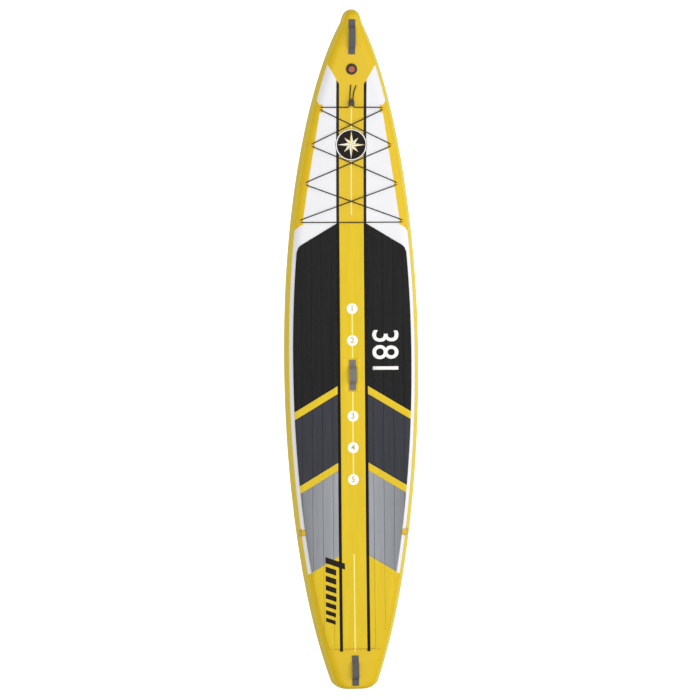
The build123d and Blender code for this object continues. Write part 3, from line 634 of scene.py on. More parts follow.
# Painted shadow: the dark line laid on the cloth just behind the tail pad's back edge.
PAD_EDGE_SHADOW = brushed_foam("pad_seam_shadow", srgb(176, 140, 44), 0.08)
GREY_WEBBING = webbing("dark_grey_webbing", srgb(88, 88, 92), thread_pitch=5.0)
PALE_WEBBING = webbing("mid_grey_webbing", srgb(118, 116, 114), thread_pitch=5.0)
YELLOW_WEBBING = webbing("yellow_webbing", srgb(214, 178, 45), thread_pitch=300.0, use_uv=False)
STITCHING = webbing("grey_thread", srgb(120, 120, 124), thread_pitch=900.0, use_uv=False)
CORD_BRAID = webbing("black_braided_cord", srgb(26, 24, 23), thread_pitch=1.5, skew=0.785)
PAD_RUBBER = moulded("soft_grip_rubber", srgb(70, 70, 72), gloss=0.7, cells=900.0)
BLACK_PLASTIC = moulded("black_moulded_plastic", srgb(26, 25, 25), gloss=0.46)
VALVE_PLASTIC = moulded("valve_black_plastic", srgb(26, 22, 21), gloss=0.48)
ORANGE_PLASTIC = moulded("orange_valve_plastic", srgb(205, 88, 38), gloss=0.42)
SEAL_RUBBER = moulded("seal_rubber", srgb(28, 27, 27), gloss=0.62)
FIN_PLASTIC = moulded("fin_plastic", srgb(36, 36, 38), gloss=0.33, cells=2200.0)
STEEL = bare_metal("stainless_steel", srgb(196, 194, 188))
BRASS = bare_metal("brass", srgb(205, 166, 92), gloss=0.34)
CORE_CLOTH = coated_cloth("drop_stitch_cloth", srgb(225, 222, 210), gloss=0.6)


# ---------------------------------------------------------------- camera, light and floor
def make_camera():
    """Long lens, nearly square above the deck and leaning a little to port."""
    distance = 16.0
    frame_width = 3.942
    film_width = 36.0
    lean = math.radians(5.0)
    roll = math.radians(-0.46)
    aim = Vector((-0.0105, 0.001, 0.12))
    away = Vector((-math.sin(lean), 0, math.cos(lean)))
    across = Vector((math.cos(lean), 0, math.sin(lean)))
    put_down()
    bpy.ops.object.camera_add(location=aim + away * distance)
    camera = bpy.context.object
    camera.name = "studio_camera"
    facing = Matrix((across, Vector((0, 1, 0)), away)).transposed().to_4x4()
    place = Matrix.Translation(aim + away * distance)
    camera.matrix_world = place @ facing @ Matrix.Rotation(roll, 4, "Z")
    camera.data.sensor_width = film_width
    camera.data.lens = film_width * distance / frame_width
    camera.data.clip_end = 200.0
    bpy.context.scene.camera = camera


LIGHT_AIM = Vector((0, 0, 0.1))
FLOOR_Z = -0.2385
# The floor glows at this strength, and by this much more where the camera sees it.
FLOOR_GLOW = 0.1
FLOOR_SEEN_GLOW = 0.9


def soft_light(name, place, size, power, colour):
    put_down()
    bpy.ops.object.light_add(type="AREA", location=place)
    light = bpy.context.object
    light.name = name
    light.data.shape = "RECTANGLE"
    light.data.size = size[0]
    light.data.size_y = size[1]
    light.data.energy = power
    light.data.color = colour
    light.rotation_mode = "QUATERNION"
    light.rotation_quaternion = (LIGHT_AIM - Vector(place)).to_track_quat("-Z", "Y")


def make_studio():
    world = bpy.data.worlds.new("studio_air")
    world.use_nodes = True
    background = world.node_tree.nodes["Background"]
    background.inputs["Color"].default_value = (1.0, 1.0, 1.0, 1.0)
    background.inputs["Strength"].default_value = 0.45
    bpy.context.scene.world = world
    bpy.context.scene.view_settings.view_transform = "Standard"
    soft_light("overhead_softbox", (0.4, 0.0, 6.0), (4.0, 7.0), 225, (1.0, 1.0, 1.0))
    soft_light("starboard_softbox", (5.0, 0.5, 3.0), (3.0, 6.0), 108, (1.0, 0.99, 0.97))
    put_down()
    bpy.ops.mesh.primitive_plane_add(size=60.0, location=(0, 0, FLOOR_Z))
    floor = name_it("studio_floor")
    finish = bpy.data.materials.new("studio_white")
    finish.use_nodes = True
    shader = finish.node_tree.nodes["Principled BSDF"]
    shader.inputs["Base Color"].default_value = (0.9, 0.9, 0.9, 1.0)
    shader.inputs["Roughness"].default_value = 0.9
    shader.inputs["Emission Color"].default_value = (1.0, 1.0, 1.0, 1.0)
    tree = finish.node_tree
    seen = add(tree, "ShaderNodeLightPath").outputs["Is Camera Ray"]
    glow = maths(tree, "ADD", maths(tree, "MULTIPLY", seen, FLOOR_SEEN_GLOW), FLOOR_GLOW)
    join(tree, glow, shader.inputs["Emission Strength"])
    floor.data.materials.append(finish)


# ---------------------------------------------------------------- bungee cord
CORD_RADIUS = 0.003
CORD_SIDES = 10
# Size and reach of the rings that round off a cord's cut end, in shares of its radius.
CORD_END_RINGS = ((0.75, 0.6), (0.35, 0.92))
CORD_ROUTE = [
    (-0.0040, 1.4820, 0.2311), (-0.0055, 1.4620, 0.2279), (-0.0075, 1.4420, 0.2254),
    (-0.0086, 1.4220, 0.2268), (-0.0085, 1.4013, 0.2266), (-0.0085, 1.3587, 0.2207),
    (-0.0445, 1.3589, 0.2192), (-0.1379, 1.3593, 0.2152), (-0.1739, 1.3595, 0.2137),
    (-0.1739, 1.3455, 0.2137), (-0.1415, 1.3300, 0.2117), (0.1877, 1.1721, 0.1914),
    (0.2201, 1.1566, 0.1894), (0.2201, 1.1426, 0.1894), (0.1870, 1.1286, 0.1882),
    (-0.2218, 0.9558, 0.1730), (-0.2549, 0.9418, 0.1718), (-0.2549, 0.9278, 0.1718),
    (-0.2211, 0.9156, 0.1711), (0.2524, 0.7442, 0.1606), (0.2862, 0.7320, 0.1599),
    (0.2862, 0.7180, 0.1599), (0.2502, 0.7180, 0.1599), (-0.2502, 0.7180, 0.1599),
    (-0.2862, 0.7180, 0.1599), (-0.2862, 0.7320, 0.1599), (-0.2524, 0.7442, 0.1617),
    (-0.0400, 0.8211, 0.1733), (0.0400, 0.8500, 0.1750), (0.2211, 0.9155, 0.1723),
    (0.2549, 0.9278, 0.1718), (0.2549, 0.9418, 0.1718), (0.2218, 0.9558, 0.1742),
    (0.0400, 1.0326, 0.1877), (-0.0400, 1.0665, 0.1907), (-0.1869, 1.1286, 0.1896),
    (-0.2201, 1.1426, 0.1894), (-0.2201, 1.1566, 0.1894), (-0.1878, 1.1721, 0.1928),
    (-0.0400, 1.2429, 0.2085), (0.0400, 1.2813, 0.2134), (0.1414, 1.3299, 0.2136),
    (0.1739, 1.3455, 0.2137), (0.1739, 1.3595, 0.2137), (0.1379, 1.3593, 0.2152),
    (0.0445, 1.3589, 0.2192), (0.0085, 1.3587, 0.2207), (0.0085, 1.4013, 0.2266),
    (0.0094, 1.4240, 0.2271), (0.0130, 1.4440, 0.2257), (0.0190, 1.4620, 0.2279),
    (0.0260, 1.4790, 0.2306)]


def spline_points(route, steps):
    """Points along the route's smooth line."""
    line = bpy.data.curves.new("route_line", "CURVE")
    line.dimensions = "3D"
    line.resolution_u = steps
    spline = line.splines.new("NURBS")
    spline.points.add(len(route) - 1)
    for point, place in zip(spline.points, route):
        point.co = (*place, 1.0)
    spline.order_u = 3
    spline.use_endpoint_u = True
    holder = bpy.data.objects.new("route_holder", line)
    bpy.context.scene.collection.objects.link(holder)
    bpy.context.view_layer.update()
    seen = holder.evaluated_get(bpy.context.evaluated_depsgraph_get())
    mesh = bpy.data.meshes.new_from_object(seen)
    points = [vertex.co.copy() for vertex in mesh.vertices]
    bpy.data.objects.remove(holder)
    bpy.data.meshes.remove(mesh)
    return points


def end_ring(ring, end, beside, share, reach):
    """Smaller ring just past the end of the cord."""
    out = (end - beside).normalized()
    return [end + (v - end) * share + out * CORD_RADIUS * reach for v in ring]


def round_cord(name, points):
    """Cord along points, with a map that runs along it in cord widths and round it."""
    rings = []
    runs = []
    run = 0.0
    across = Vector((0, 0, 1))
    last = len(points) - 1
    for i, here in enumerate(points):
        ahead = (points[min(i + 1, last)] - points[max(i - 1, 0)]).normalized()
        across = (across - ahead * across.dot(ahead)).normalized()
        side = ahead.cross(across)
        if i:
            run += (here - points[i - 1]).length
        runs.append(run)
        rings.append([here + (across * math.cos(t) + side * math.sin(t)) * CORD_RADIUS
                      for t in [2 * math.pi * k / CORD_SIDES for k in range(CORD_SIDES)]])
    first_ring, last_ring = rings[0], rings[-1]
    for share, reach in CORD_END_RINGS:
        rings.insert(0, end_ring(first_ring, points[0], points[1], share, reach))
        rings.append(end_ring(last_ring, points[-1], points[-2], share, reach))
        runs.insert(0, 0.0)
        runs.append(run)
    sides = range(CORD_SIDES)
    wall = [(i * CORD_SIDES, (i + 1) * CORD_SIDES, k, (k + 1) % CORD_SIDES)
            for i in range(len(rings) - 1) for k in sides]
    faces = [(low + k, low + n, high + n, high + k) for low, high, k, n in wall]
    faces.append(tuple(reversed(sides)))
    faces.append(tuple((len(rings) - 1) * CORD_SIDES + k for k in sides))
    mesh = bpy.data.meshes.new(name)
    mesh.from_pydata([tuple(v) for ring in rings for v in ring], [], faces)
    layer = mesh.uv_layers.new(name="UVMap")
    girth = 2 * math.pi * CORD_RADIUS
    for face in mesh.polygons:
        for loop in face.loop_indices:
            ring, k = divmod(mesh.loops[loop].vertex_index, CORD_SIDES)
            if face.index < len(wall):
                first = face.index % CORD_SIDES
                k = first + (k != first)
            layer.data[loop].uv = (runs[ring] / girth, k / CORD_SIDES)
    cord = bpy.data.objects.new(name, mesh)
    bpy.context.scene.collection.objects.link(cord)
    return cord


def make_bungee():
    points = spline_points(CORD_ROUTE, 10)
    cord = round_cord("bungee_line", points)
    weld(cord)
    smooth(cord, 60)
    fit(cord, "hull", [CORD_BRAID], ("bungee_cord",))


# ---------------------------------------------------------------- hull
def hull_body(name, offset):
    """The whole hull, level, as one closed skin."""
    rows = HULL_ROWS
    skin = start_grid(name, HULL_COLUMNS, len(rows) - 1)
    place_points(skin, lambda u, v: hull_ring_point(
        round(u * HULL_COLUMNS), rows[round(v * (len(rows) - 1))], offset))
    weld(skin, 0.00004)
    return skin


def slice_level(obj, height, keep_above):
    """Cut the level hull at a height and keep the part above or below."""
    edit(obj)
    bpy.ops.mesh.bisect(plane_co=(0, 0, height), plane_no=(0, 0, 1), use_fill=False,
                        clear_inner=keep_above, clear_outer=not keep_above)
    put_down()


def bend_rocker(obj):
    for vertex in obj.data.vertices:
        vertex.co.z += rocker(vertex.co.y)


SCORE_MARGIN = 0.002


def score(obj, start, end):
    """Cut a seam into the cloth along a straight line in plan, on the faces it meets."""
    low = [min(start[i], end[i]) - SCORE_MARGIN for i in range(2)]
    high = [max(start[i], end[i]) + SCORE_MARGIN for i in range(2)]

    def near(face):
        xs = [v.co.x for v in face.verts]
        ys = [v.co.y for v in face.verts]
        return max(xs) > low[0] and min(xs) < high[0] and max(ys) > low[1] and min(ys) < high[1]

    edit(obj)
    if choose(obj, "FACE", near):
        across = (end[1] - start[1], start[0] - end[0], 0)
        bpy.ops.mesh.bisect(plane_co=(*start, 0), plane_no=across, use_fill=False)
    put_down()


def inside(x, y, plan):
    """Whether a plan position lies in a polygon."""
    found = False
    for i in range(len(plan)):
        x1, y1 = plan[i]
        x2, y2 = plan[i - 1]
        if (y1 > y) != (y2 > y) and x < (x2 - x1) * (y - y1) / (y2 - y1) + x1:
            found = not found
    return found


# Outlines in plan of the starboard white panel and of the black stripe ahead of the pads.
WHITE_PLAN = [
    (0.085, 1.512), (0.160, 1.644), (0.300, 1.644), (0.222, 1.443), (0.172, 1.363), (0.240, 0.950),
    (0.275, 0.712), (0.325, 0.668), (0.420, 0.584), (0.420, -1.357), (0.085, -1.156)]
STRIPE_PLAN = [(0.069, 1.488), (0.085, 1.516), (0.085, 0.700), (0.069, 0.700)]
OFF_THE_BOARD = 0.38
VALVE_Y = 1.571
VALVE_HOLE = 0.0195


def make_deck_cloth():
    """Deck skin with its white panels and black stripes, and the valve's hole in it."""
    cloth = hull_body("deck_cloth", 0.0)
    slice_level(cloth, HALF_THICK + DECK_REACH, True)
    bend_rocker(cloth)
    seams = [((x0 * side, y0), (x1 * side, y1)) for plan in (WHITE_PLAN, STRIPE_PLAN)
             for (x0, y0), (x1, y1) in zip(plan[-1:] + plan, plan) for side in (1, -1)]
    hole = [(VALVE_HOLE * math.cos(math.radians(a)), VALVE_Y + VALVE_HOLE * math.sin(math.radians(a)))
            for a in range(0, 360, 20)]
    seams += zip(hole[-1:] + hole, hole)
    for start, end in seams:
        if min(abs(start[0]), abs(end[0])) <= OFF_THE_BOARD:
            score(cloth, start, end)
    cloth.data.materials.clear()
    for finish in (YELLOW_CLOTH, WHITE_CLOTH, BLACK_PRINT):
        cloth.data.materials.append(finish)
    for face in cloth.data.polygons:
        x, y = abs(face.center.x), face.center.y
        if inside(x, y, STRIPE_PLAN):
            face.material_index = 2
        elif inside(x, y, WHITE_PLAN):
            face.material_index = 1
    edit(cloth)
    choose(cloth, "FACE", lambda f: inside(*f.calc_center_median().xy, hole))
    bpy.ops.mesh.delete(type="FACE")
    put_down()
    thicken(cloth, SKIN, -1.0)
    smooth(cloth, 40)
    fit(cloth, "hull", None, ("deck_skin",))


def make_bottom_cloth():
    """Plain skin under the board."""
    cloth = hull_body("bottom_cloth", 0.0)
    slice_level(cloth, HALF_THICK - DECK_REACH, False)
    bend_rocker(cloth)
    thicken(cloth, SKIN, -1.0)
    smooth(cloth, 40)
    fit(cloth, "hull", [YELLOW_CLOTH], ("bottom_skin",))


def make_rail_tape():
    """Tape glued all round the rail over the side walls."""
    band = hull_body("rail_tape", TAPE_GAP)
    slice_level(band, HALF_THICK - TAPE_REACH, True)
    slice_level(band, HALF_THICK + TAPE_REACH, False)
    bend_rocker(band)
    thicken(band, TAPE, 1.0)
    soften_edges(band, 0.0006, 2, 60)
    smooth(band, 40)
    fit(band, "hull", [RAIL_CLOTH],
        ("rail_band_left", "rail_band_right", "side_wall_left", "side_wall_right"))


# ---------------------------------------------------------------- foam deck pads
def pad_edge(y):
    return outline(y) - PAD_INSET


def swept(front):
    """Line that sweeps back from the stripe at the chevron's slope."""
    return lambda x: front - SWEEP * (x - STRIPE_OUTER)


def lay_foam(name, front, back, columns, rows, corner=0.0, inner=STRIPE_OUTER + PAD_GAP, outer=pad_edge):
    """Foam sheet laid on the deck between two lines in plan, with softened edges.

    Width and length depend on each other, so each point is found in a few passes.
    """
    middle_x = 0.2
    passes = 8
    foam = start_grid(name, columns, rows)

    def lay(u, v):
        y = (front(middle_x) + back(middle_x)) / 2
        x = inner
        for _ in range(passes):
            width = outer(y) - inner
            length = front(x) - back(x)
            out_gap = (1 - u) * width
            front_gap = (1 - v) * length
            if corner and out_gap < corner and front_gap < corner:
                p = Vector((1 - out_gap / corner, 1 - front_gap / corner))
                p *= max(p) / p.length
                out_gap = (1 - p.x) * corner
                front_gap = (1 - p.y) * corner
            x = inner + width - out_gap
            y = front(x) - front_gap
        return on_deck(x, y, PAD_LIFT)

    place_points(foam, lay)
    thicken(foam, PAD_THICK, 1.0)
    soften_edges(foam, PAD_ROUND, 2, 60)
    return foam


GROOVE_HALF = 0.0012
GROOVE_DEPTH = 0.0014


def cut_groove(foam, x):
    """Shallow V groove routed along the board."""
    edit(foam)
    for offset in (-GROOVE_HALF, 0.0, GROOVE_HALF):
        cut_across((x + offset, 0, 0), (1, 0, 0))
    choose(foam, "VERT", lambda v: abs(v.co.x - x) < 0.00005
           and v.co.z > deck_height(v.co.x, v.co.y) + PAD_THICK * 0.6)
    bpy.ops.transform.translate(value=(0, 0, -GROOVE_DEPTH))
    put_down()
    # The groove's walls take the second, darker finish: painted shade in the groove.
    for face in foam.data.polygons:
        if abs(face.center.x - x) < GROOVE_HALF and face.normal.z > 0.2:
            face.material_index = 1


def fit_pads(foam, name, node, finishes):
    """Smooth a starboard pad, mirror it and fit both."""
    smooth(foam, 30)
    twin = mirror_piece(foam, name + "_left")
    for piece, side in ((foam, "_right"), (twin, "_left")):
        fit(piece, "hull", finishes, (node + side,))


# Each foam's name, front and back at the stripe, columns, rows, corner radius, finish and slot.
FOAM_PLANS = [
    ("front_pad", PAD_FRONT, -0.201, 24, 34, 0.024, BLACK_FOAM, "black_foam"),
    ("front_chevron", -0.201, -0.246, 24, 3, 0.0, YELLOW_FOAM, "yellow_foam"),
    ("middle_pad", -0.246, -0.632, 24, 16, 0.0, DARK_FOAM, "dark_grey_foam"),
    ("rear_chevron", -0.632, -0.677, 24, 3, 0.0, YELLOW_FOAM, "yellow_foam"),
    ("rear_pad", -0.677, -1.156, 22, 20, 0.0, LIGHT_FOAM, "light_grey_foam"),
    ("tail_pad", -1.156, None, 16, 20, 0.0, YELLOW_FOAM, "yellow_foam")]


def make_pads():
    """Foam pads with their grooves, and the chevrons and stripes between them."""
    for name, front, back, columns, rows, corner, finish, slot in FOAM_PLANS:
        end = (lambda x: PAD_BACK) if back is None else swept(back + PAD_GAP)
        foam = lay_foam(name + "_foam_right", swept(front), end, columns, rows, corner)
        if "chevron" not in name:
            for x in GROOVES:
                cut_groove(foam, x)
        fit_pads(foam, name + "_foam", name, [finish, GROOVE_SHADE_FOAM[finish]])
    stripe = lay_foam("stripe_foam_right", lambda x: PAD_FRONT, lambda x: STRIPE_BACK, 2, 90,
                      inner=STRIPE_INNER, outer=lambda y: STRIPE_OUTER)
    fit_pads(stripe, "stripe_foam", "pinstripe", [STRIPE_FOAM])


WELL_HALF_X = 0.027
WELL_HALF_Y = 0.094
CENTRE_HANDLE_Y = -0.140


def make_centre_foam():
    """Yellow centre strip with a well for the carry handle."""
    half = STRIPE_INNER - PAD_GAP
    length = PAD_FRONT - PAD_BACK
    foam = start_grid("centre_foam", 10, 90)
    place_points(foam, lambda u, v: Vector((-half + 2 * half * u, PAD_BACK + length * v, 0)))
    edit(foam)
    for x in (-WELL_HALF_X, WELL_HALF_X):
        cut_across((x, 0, 0), (1, 0, 0))
    for y in (CENTRE_HANDLE_Y - WELL_HALF_Y, CENTRE_HANDLE_Y + WELL_HALF_Y):
        cut_across((0, y, 0), (0, 1, 0))
    choose(foam, "FACE", lambda f: abs(f.calc_center_median().x) < WELL_HALF_X
           and abs(f.calc_center_median().y - CENTRE_HANDLE_Y) < WELL_HALF_Y)
    bpy.ops.mesh.delete(type="FACE")
    put_down()
    for vertex in foam.data.vertices:
        vertex.co = on_deck(vertex.co.x, vertex.co.y, PAD_LIFT)
    thicken(foam, PAD_THICK, 1.0)
    soften_edges(foam, PAD_ROUND, 2, 60)
    smooth(foam, 30)
    fit(foam, "hull", [YELLOW_FOAM], ("centre_pad",))


# ---------------------------------------------------------------- printed marks
ON_PAD = PAD_LIFT + PAD_THICK + 0.00005
ON_CLOTH = 0.0003
INK = 0.00025
SECOND_INK = 0.0003
PRINT_STEP = 0.03


def lay_film_on(obj, base, name, finish):
    """Lay a flat cut-out on the deck at a height, as a thin film: ink for print, and painted shadow for
    the tail pad's edge marks.
    """
    edit(obj)
    for axis in (1, 0):
        places = [v.co[axis] for v in obj.data.vertices]
        low, high = min(places), max(places)
        facing = (1 - axis, axis, 0)
        steps = int((high - low) / PRINT_STEP)
        for i in range(1, steps + 1):
            cut_across(Vector(facing) * (low + (high - low) * i / (steps + 1)), facing)
    put_down()
    for vertex in obj.data.vertices:
        vertex.co = on_deck(vertex.co.x, vertex.co.y, base + vertex.co.z)
    face_up(obj)
    thicken(obj, INK, 1.0, even=False)
    fit(name_it(name, obj), "hull", [finish])


def flat_strip(x_low, x_high, y_low, y_high, slant=0.0):
    put_down()
    bpy.ops.mesh.primitive_plane_add(size=1.0)
    strip = bpy.context.object
    place_points(strip, lambda u, v: Vector(
        (x_low + (x_high - x_low) * u, y_low + (y_high - y_low) * v + slant * u, 0)))
    return strip


def flat_disc(x, y, radius, sides=64):
    put_down()
    bpy.ops.mesh.primitive_circle_add(vertices=sides, radius=radius, fill_type="NGON")
    disc = bpy.context.object
    disc.data.transform(Matrix.Translation((x, y, 0)))
    return disc


def flat_ring(x, y, outer, inner, sides=96):
    ring = flat_disc(x, y, outer, sides)
    edit(ring)
    bpy.ops.mesh.select_mode(type="FACE")
    bpy.ops.mesh.select_all(action="SELECT")
    bpy.ops.mesh.inset(thickness=outer - inner, depth=0)
    bpy.ops.mesh.delete(type="FACE")
    put_down()
    return ring


def flat_text(words, x, y, height, turn, width=1.0, weight=0.0):
    """Plain sign-writer's characters, centred at a place."""
    capital_share = 0.70
    put_down()
    bpy.ops.object.text_add()
    text = bpy.context.object
    text.data.body = words
    text.data.align_x = "CENTER"
    text.data.align_y = "CENTER"
    text.data.size = height / capital_share
    text.data.offset = weight
    text.data.resolution_u = 6
    bpy.ops.object.convert(target="MESH")
    text = bpy.context.object
    turned_round = Matrix.Rotation(turn, 4, "Z") @ Matrix.Diagonal((width, 1, 1, 1))
    text.data.transform(Matrix.Translation((x, y, 0)) @ turned_round)
    return text


# Pieces of the thin line down the middle: name, where it starts and ends, height it lies at.
CENTRE_LINES = [
    ("nose", 1.242, 1.354, ON_CLOTH), ("bungee", 0.760, 1.062, ON_CLOTH), ("front", -0.044, 0.205, ON_PAD),
    ("middle", -0.700, -0.236, ON_PAD), ("rear", -1.674, -1.145, ON_PAD),
    ("tail", -1.692, -1.6765, ON_CLOTH)]
CENTRE_LINE_HALF = 0.0035
INDEX_MARKS = (("1", 0.233), ("2", 0.054), ("3", -0.371), ("4", -0.548), ("5", -0.727))
INDEX_RADIUS = 0.0305
INDEX_DISC_LIFT = 0.0002
INDEX_NUMBER_LIFT = 0.0005


def make_marks():
    """Centre line, index discs, the board's length in centimetres, and a painted shadow line with corner
    dots along the tail pad's back edge.
    """
    for place, low, high, base in CENTRE_LINES:
        strip = flat_strip(-CENTRE_LINE_HALF, CENTRE_LINE_HALF, low, high)
        lay_film_on(strip, base, "centre_line_" + place, CREAM_INK)
    for mark, y in INDEX_MARKS:
        disc = flat_disc(0, y, INDEX_RADIUS)
        lay_film_on(disc, ON_PAD + INDEX_DISC_LIFT, "index_disc_" + mark, WHITE_INK)
        number = flat_text(mark, 0, y, 0.032, 0.0, weight=0.0004)
        lay_film_on(number, ON_PAD + INDEX_NUMBER_LIFT, "index_number_" + mark, OCHRE_INK)
    length = flat_text("381", 0.1775, -0.012, 0.146, -math.pi / 2, 0.86, 0.0012)
    lay_film_on(length, ON_PAD, "length_number", WHITE_INK)
    # Painted shadow along the tail pad's back edge, where the pad's edge casts shade on the cloth.
    seam = flat_strip(-0.166, 0.166, -1.6785, -1.6765)
    lay_film_on(seam, ON_CLOTH, "tail_pad_edge_shadow", PAD_EDGE_SHADOW)
    # Painted shadow dots at the tail pad's corners, where the chamfered corners cast shade.
    for side in (-1, 1):
        dot = flat_disc(side * 0.172, -1.676, 0.0045, 20)
        lay_film_on(dot, ON_CLOTH + SECOND_INK, "corner_shadow_dot_%d" % side, BLACK_INK_AND_SHADOW)
    make_emblem()
    make_speed_bars()


def make_emblem():
    """Round black badge with a plain compass rose."""
    y = 1.152
    ray_radii = (0.078, 0.023, 0.056, 0.023)
    lay_film_on(flat_disc(0, y, 0.0812, 96), ON_CLOTH, "badge_disc", BLACK_INK_AND_SHADOW)
    lay_film_on(flat_ring(0, y, 0.0890, 0.0865), ON_CLOTH, "badge_outline", BLACK_INK_AND_SHADOW)
    lay_film_on(flat_ring(0, y, 0.0865, 0.0812), ON_CLOTH, "badge_ring", WHITE_INK)
    points = []
    for i in range(16):
        turn = math.radians(22.5 * i)
        radius = ray_radii[i % 4]
        points.append((radius * math.sin(turn), radius * math.cos(turn)))
    for name, step, finish in (("light", 1, WHITE_INK), ("shade", -1, OCHRE_INK)):
        halves = []
        for i in range(0, 16, 2):
            ray = flat_disc(0, 0, 1.0, 3)
            corners = [(0, 0), points[i], points[(i + step) % 16]]
            for vertex, corner in zip(ray.data.vertices, corners):
                vertex.co = Vector((corner[0], y + corner[1], 0))
            halves.append(ray)
        rose = join_pieces(halves, "rose")
        weld(rose)
        lay_film_on(rose, ON_CLOTH + SECOND_INK, "badge_rose_" + name, finish)


# Height of each bar and where its stripe end is, from the front of the row.
SPEED_BARS = [(0.034, -0.052), (0.032, -0.102), (0.032, -0.102), (0.030, -0.102), (0.028, -0.102),
              (0.026, -0.104), (0.024, -0.106), (0.022, -0.108)]
BAR_OUTER_X = -0.162
BAR_GAP = 0.0190
BAR_SLOPE = -0.35


def make_speed_bars():
    """A row of slanted black bars beside the port stripe."""
    bars = []
    y = -1.160
    for height, x_high in SPEED_BARS:
        slant = BAR_SLOPE * (x_high - BAR_OUTER_X)
        bars.append(flat_strip(BAR_OUTER_X, x_high, y - height, y, slant))
        y -= height + BAR_GAP
    lay_film_on(join_pieces(bars, "bars"), ON_PAD, "speed_bars", BLACK_INK_AND_SHADOW)


# ---------------------------------------------------------------- carry handles
STRAP_WIDE = 0.038
STRAP_THICK = 0.0026
STRAP_FOOT = 0.030
THREAD_SIZE = (0.00036, 0.00125, 0.00032)
STITCH_PITCH = 0.0034
# Corners of the sewn box on a foot: across the strap, and in from its end.
STITCH_BOX = ((-0.014, 0.004), (0.014, 0.004), (0.014, 0.026), (-0.014, 0.026))
STITCH_RUNS = ((0, 1), (1, 2), (2, 3), (3, 0), (0, 2), (1, 3))


def strap_height(y, half, rise, ramp):
    """Height of a strap's underside along it: flat feet, short ramps, level grip."""
    foot_z = STRAP_THICK / 2
    share = (half - STRAP_FOOT - abs(y)) / ramp
    share = min(max(share, 0.0), 1.0)
    soft = share * share * (3 - 2 * share)
    return foot_z + (rise - foot_z) * soft - foot_z


def make_strap(name, y, length, rise, lift, finish, node, ramp=0.024):
    """Webbing handle on the deck, its feet lifted by what lies under them."""
    half = length / 2
    strap = start_grid(name, 10, 72)
    place_points(strap, lambda u, v: Vector((
        -STRAP_WIDE / 2 + STRAP_WIDE * u, -half + length * v,
        strap_height(-half + length * v, half, rise, ramp))))
    layer = strap.data.uv_layers[0]
    for loop in strap.data.loops:
        layer.data[loop.index].uv.y *= length / STRAP_WIDE
    thicken(strap, STRAP_THICK, 1.0)
    soften_edges(strap, 0.0007, 2, 60)
    smooth(strap, 40)
    front, back = [Vector((0, end, deck_height(0, end))) for end in (y + half, y - half)]
    along = (front - back).normalized()
    off = Vector((1, 0, 0)).cross(along)
    place = tilted_frame((front + back) / 2 + off * lift, along, off)
    settle(strap, place)
    fit(strap, "hull", [finish], (node,))
    make_stitches(name + "_stitching", half, place)


def make_stitches(name, half, place):
    """Box-and-cross stitching on both feet of a strap."""
    put_down()
    bpy.ops.mesh.primitive_uv_sphere_add(segments=6, ring_count=4, radius=1.0)
    thread = bpy.context.object
    thread.data.transform(Matrix.Diagonal((*THREAD_SIZE, 1)))
    found = []
    for end in (-1, 1):
        box = [Vector((x, end * (half - gap))) for x, gap in STITCH_BOX]
        for first, second in STITCH_RUNS:
            start, run = box[first], box[second] - box[first]
            count = max(int(run.length / STITCH_PITCH), 1)
            turn = Matrix.Rotation(math.atan2(*run) * -1, 4, "Z")
            for i in range(count):
                at = start + run * (i + 0.5) / count
                stitch = copy_piece(thread, "stitch")
                stitch.data.transform(Matrix.Translation((at.x, at.y, STRAP_THICK + 0.0001)) @ turn)
                found.append(stitch)
    bpy.data.objects.remove(thread)
    stitches = join_pieces(found, name)
    smooth(stitches, 60)
    settle(stitches, place)
    fit(stitches, "hull", [STITCHING])


def make_handles():
    make_strap("nose_handle_webbing", 1.748, 0.195, 0.024, 0.0025, GREY_WEBBING, "nose_handle_strap")
    make_strap("tail_handle_webbing", -1.797, 0.170, 0.024, 0.0025, GREY_WEBBING, "tail_handle_strap")
    make_strap("centre_handle_webbing", CENTRE_HANDLE_Y, 0.172, 0.033, 0.0044, PALE_WEBBING,
               "centre_handle_strap", ramp=0.029)


# ---------------------------------------------------------------- turned pieces
def turned(name, profile, sides):
    """Piece turned about z from radii and heights; the first and last are on the axis."""
    (_, low), *rings, (_, top) = profile
    put_down()
    bpy.ops.mesh.primitive_circle_add(vertices=sides, radius=rings[0][0], location=(0, 0, 0))
    obj = name_it(name)
    obj.data.transform(Matrix.Translation((0, 0, rings[0][1])))
    edit(obj)
    for (r0, z0), (r1, z1) in zip(rings, rings[1:]):
        bpy.ops.mesh.extrude_region_move(TRANSFORM_OT_translate={"value": (0, 0, z1 - z0)})
        bpy.ops.transform.resize(value=(r1 / r0, r1 / r0, 1), center_override=(0, 0, z1))
    for rise in (top - rings[-1][1], low - rings[0][1]):
        bpy.ops.mesh.extrude_region_move(TRANSFORM_OT_translate={"value": (0, 0, rise)})
        bpy.ops.mesh.merge(type="CENTER")
        choose(obj, "EDGE", lambda e: e.is_boundary)
    face_out()
    return obj


VALVE_PLACE = tilted_frame((0.0, 1.571, 0.241771), (0, 0.985446, 0.169987), (0, -0.169987, 0.985446))


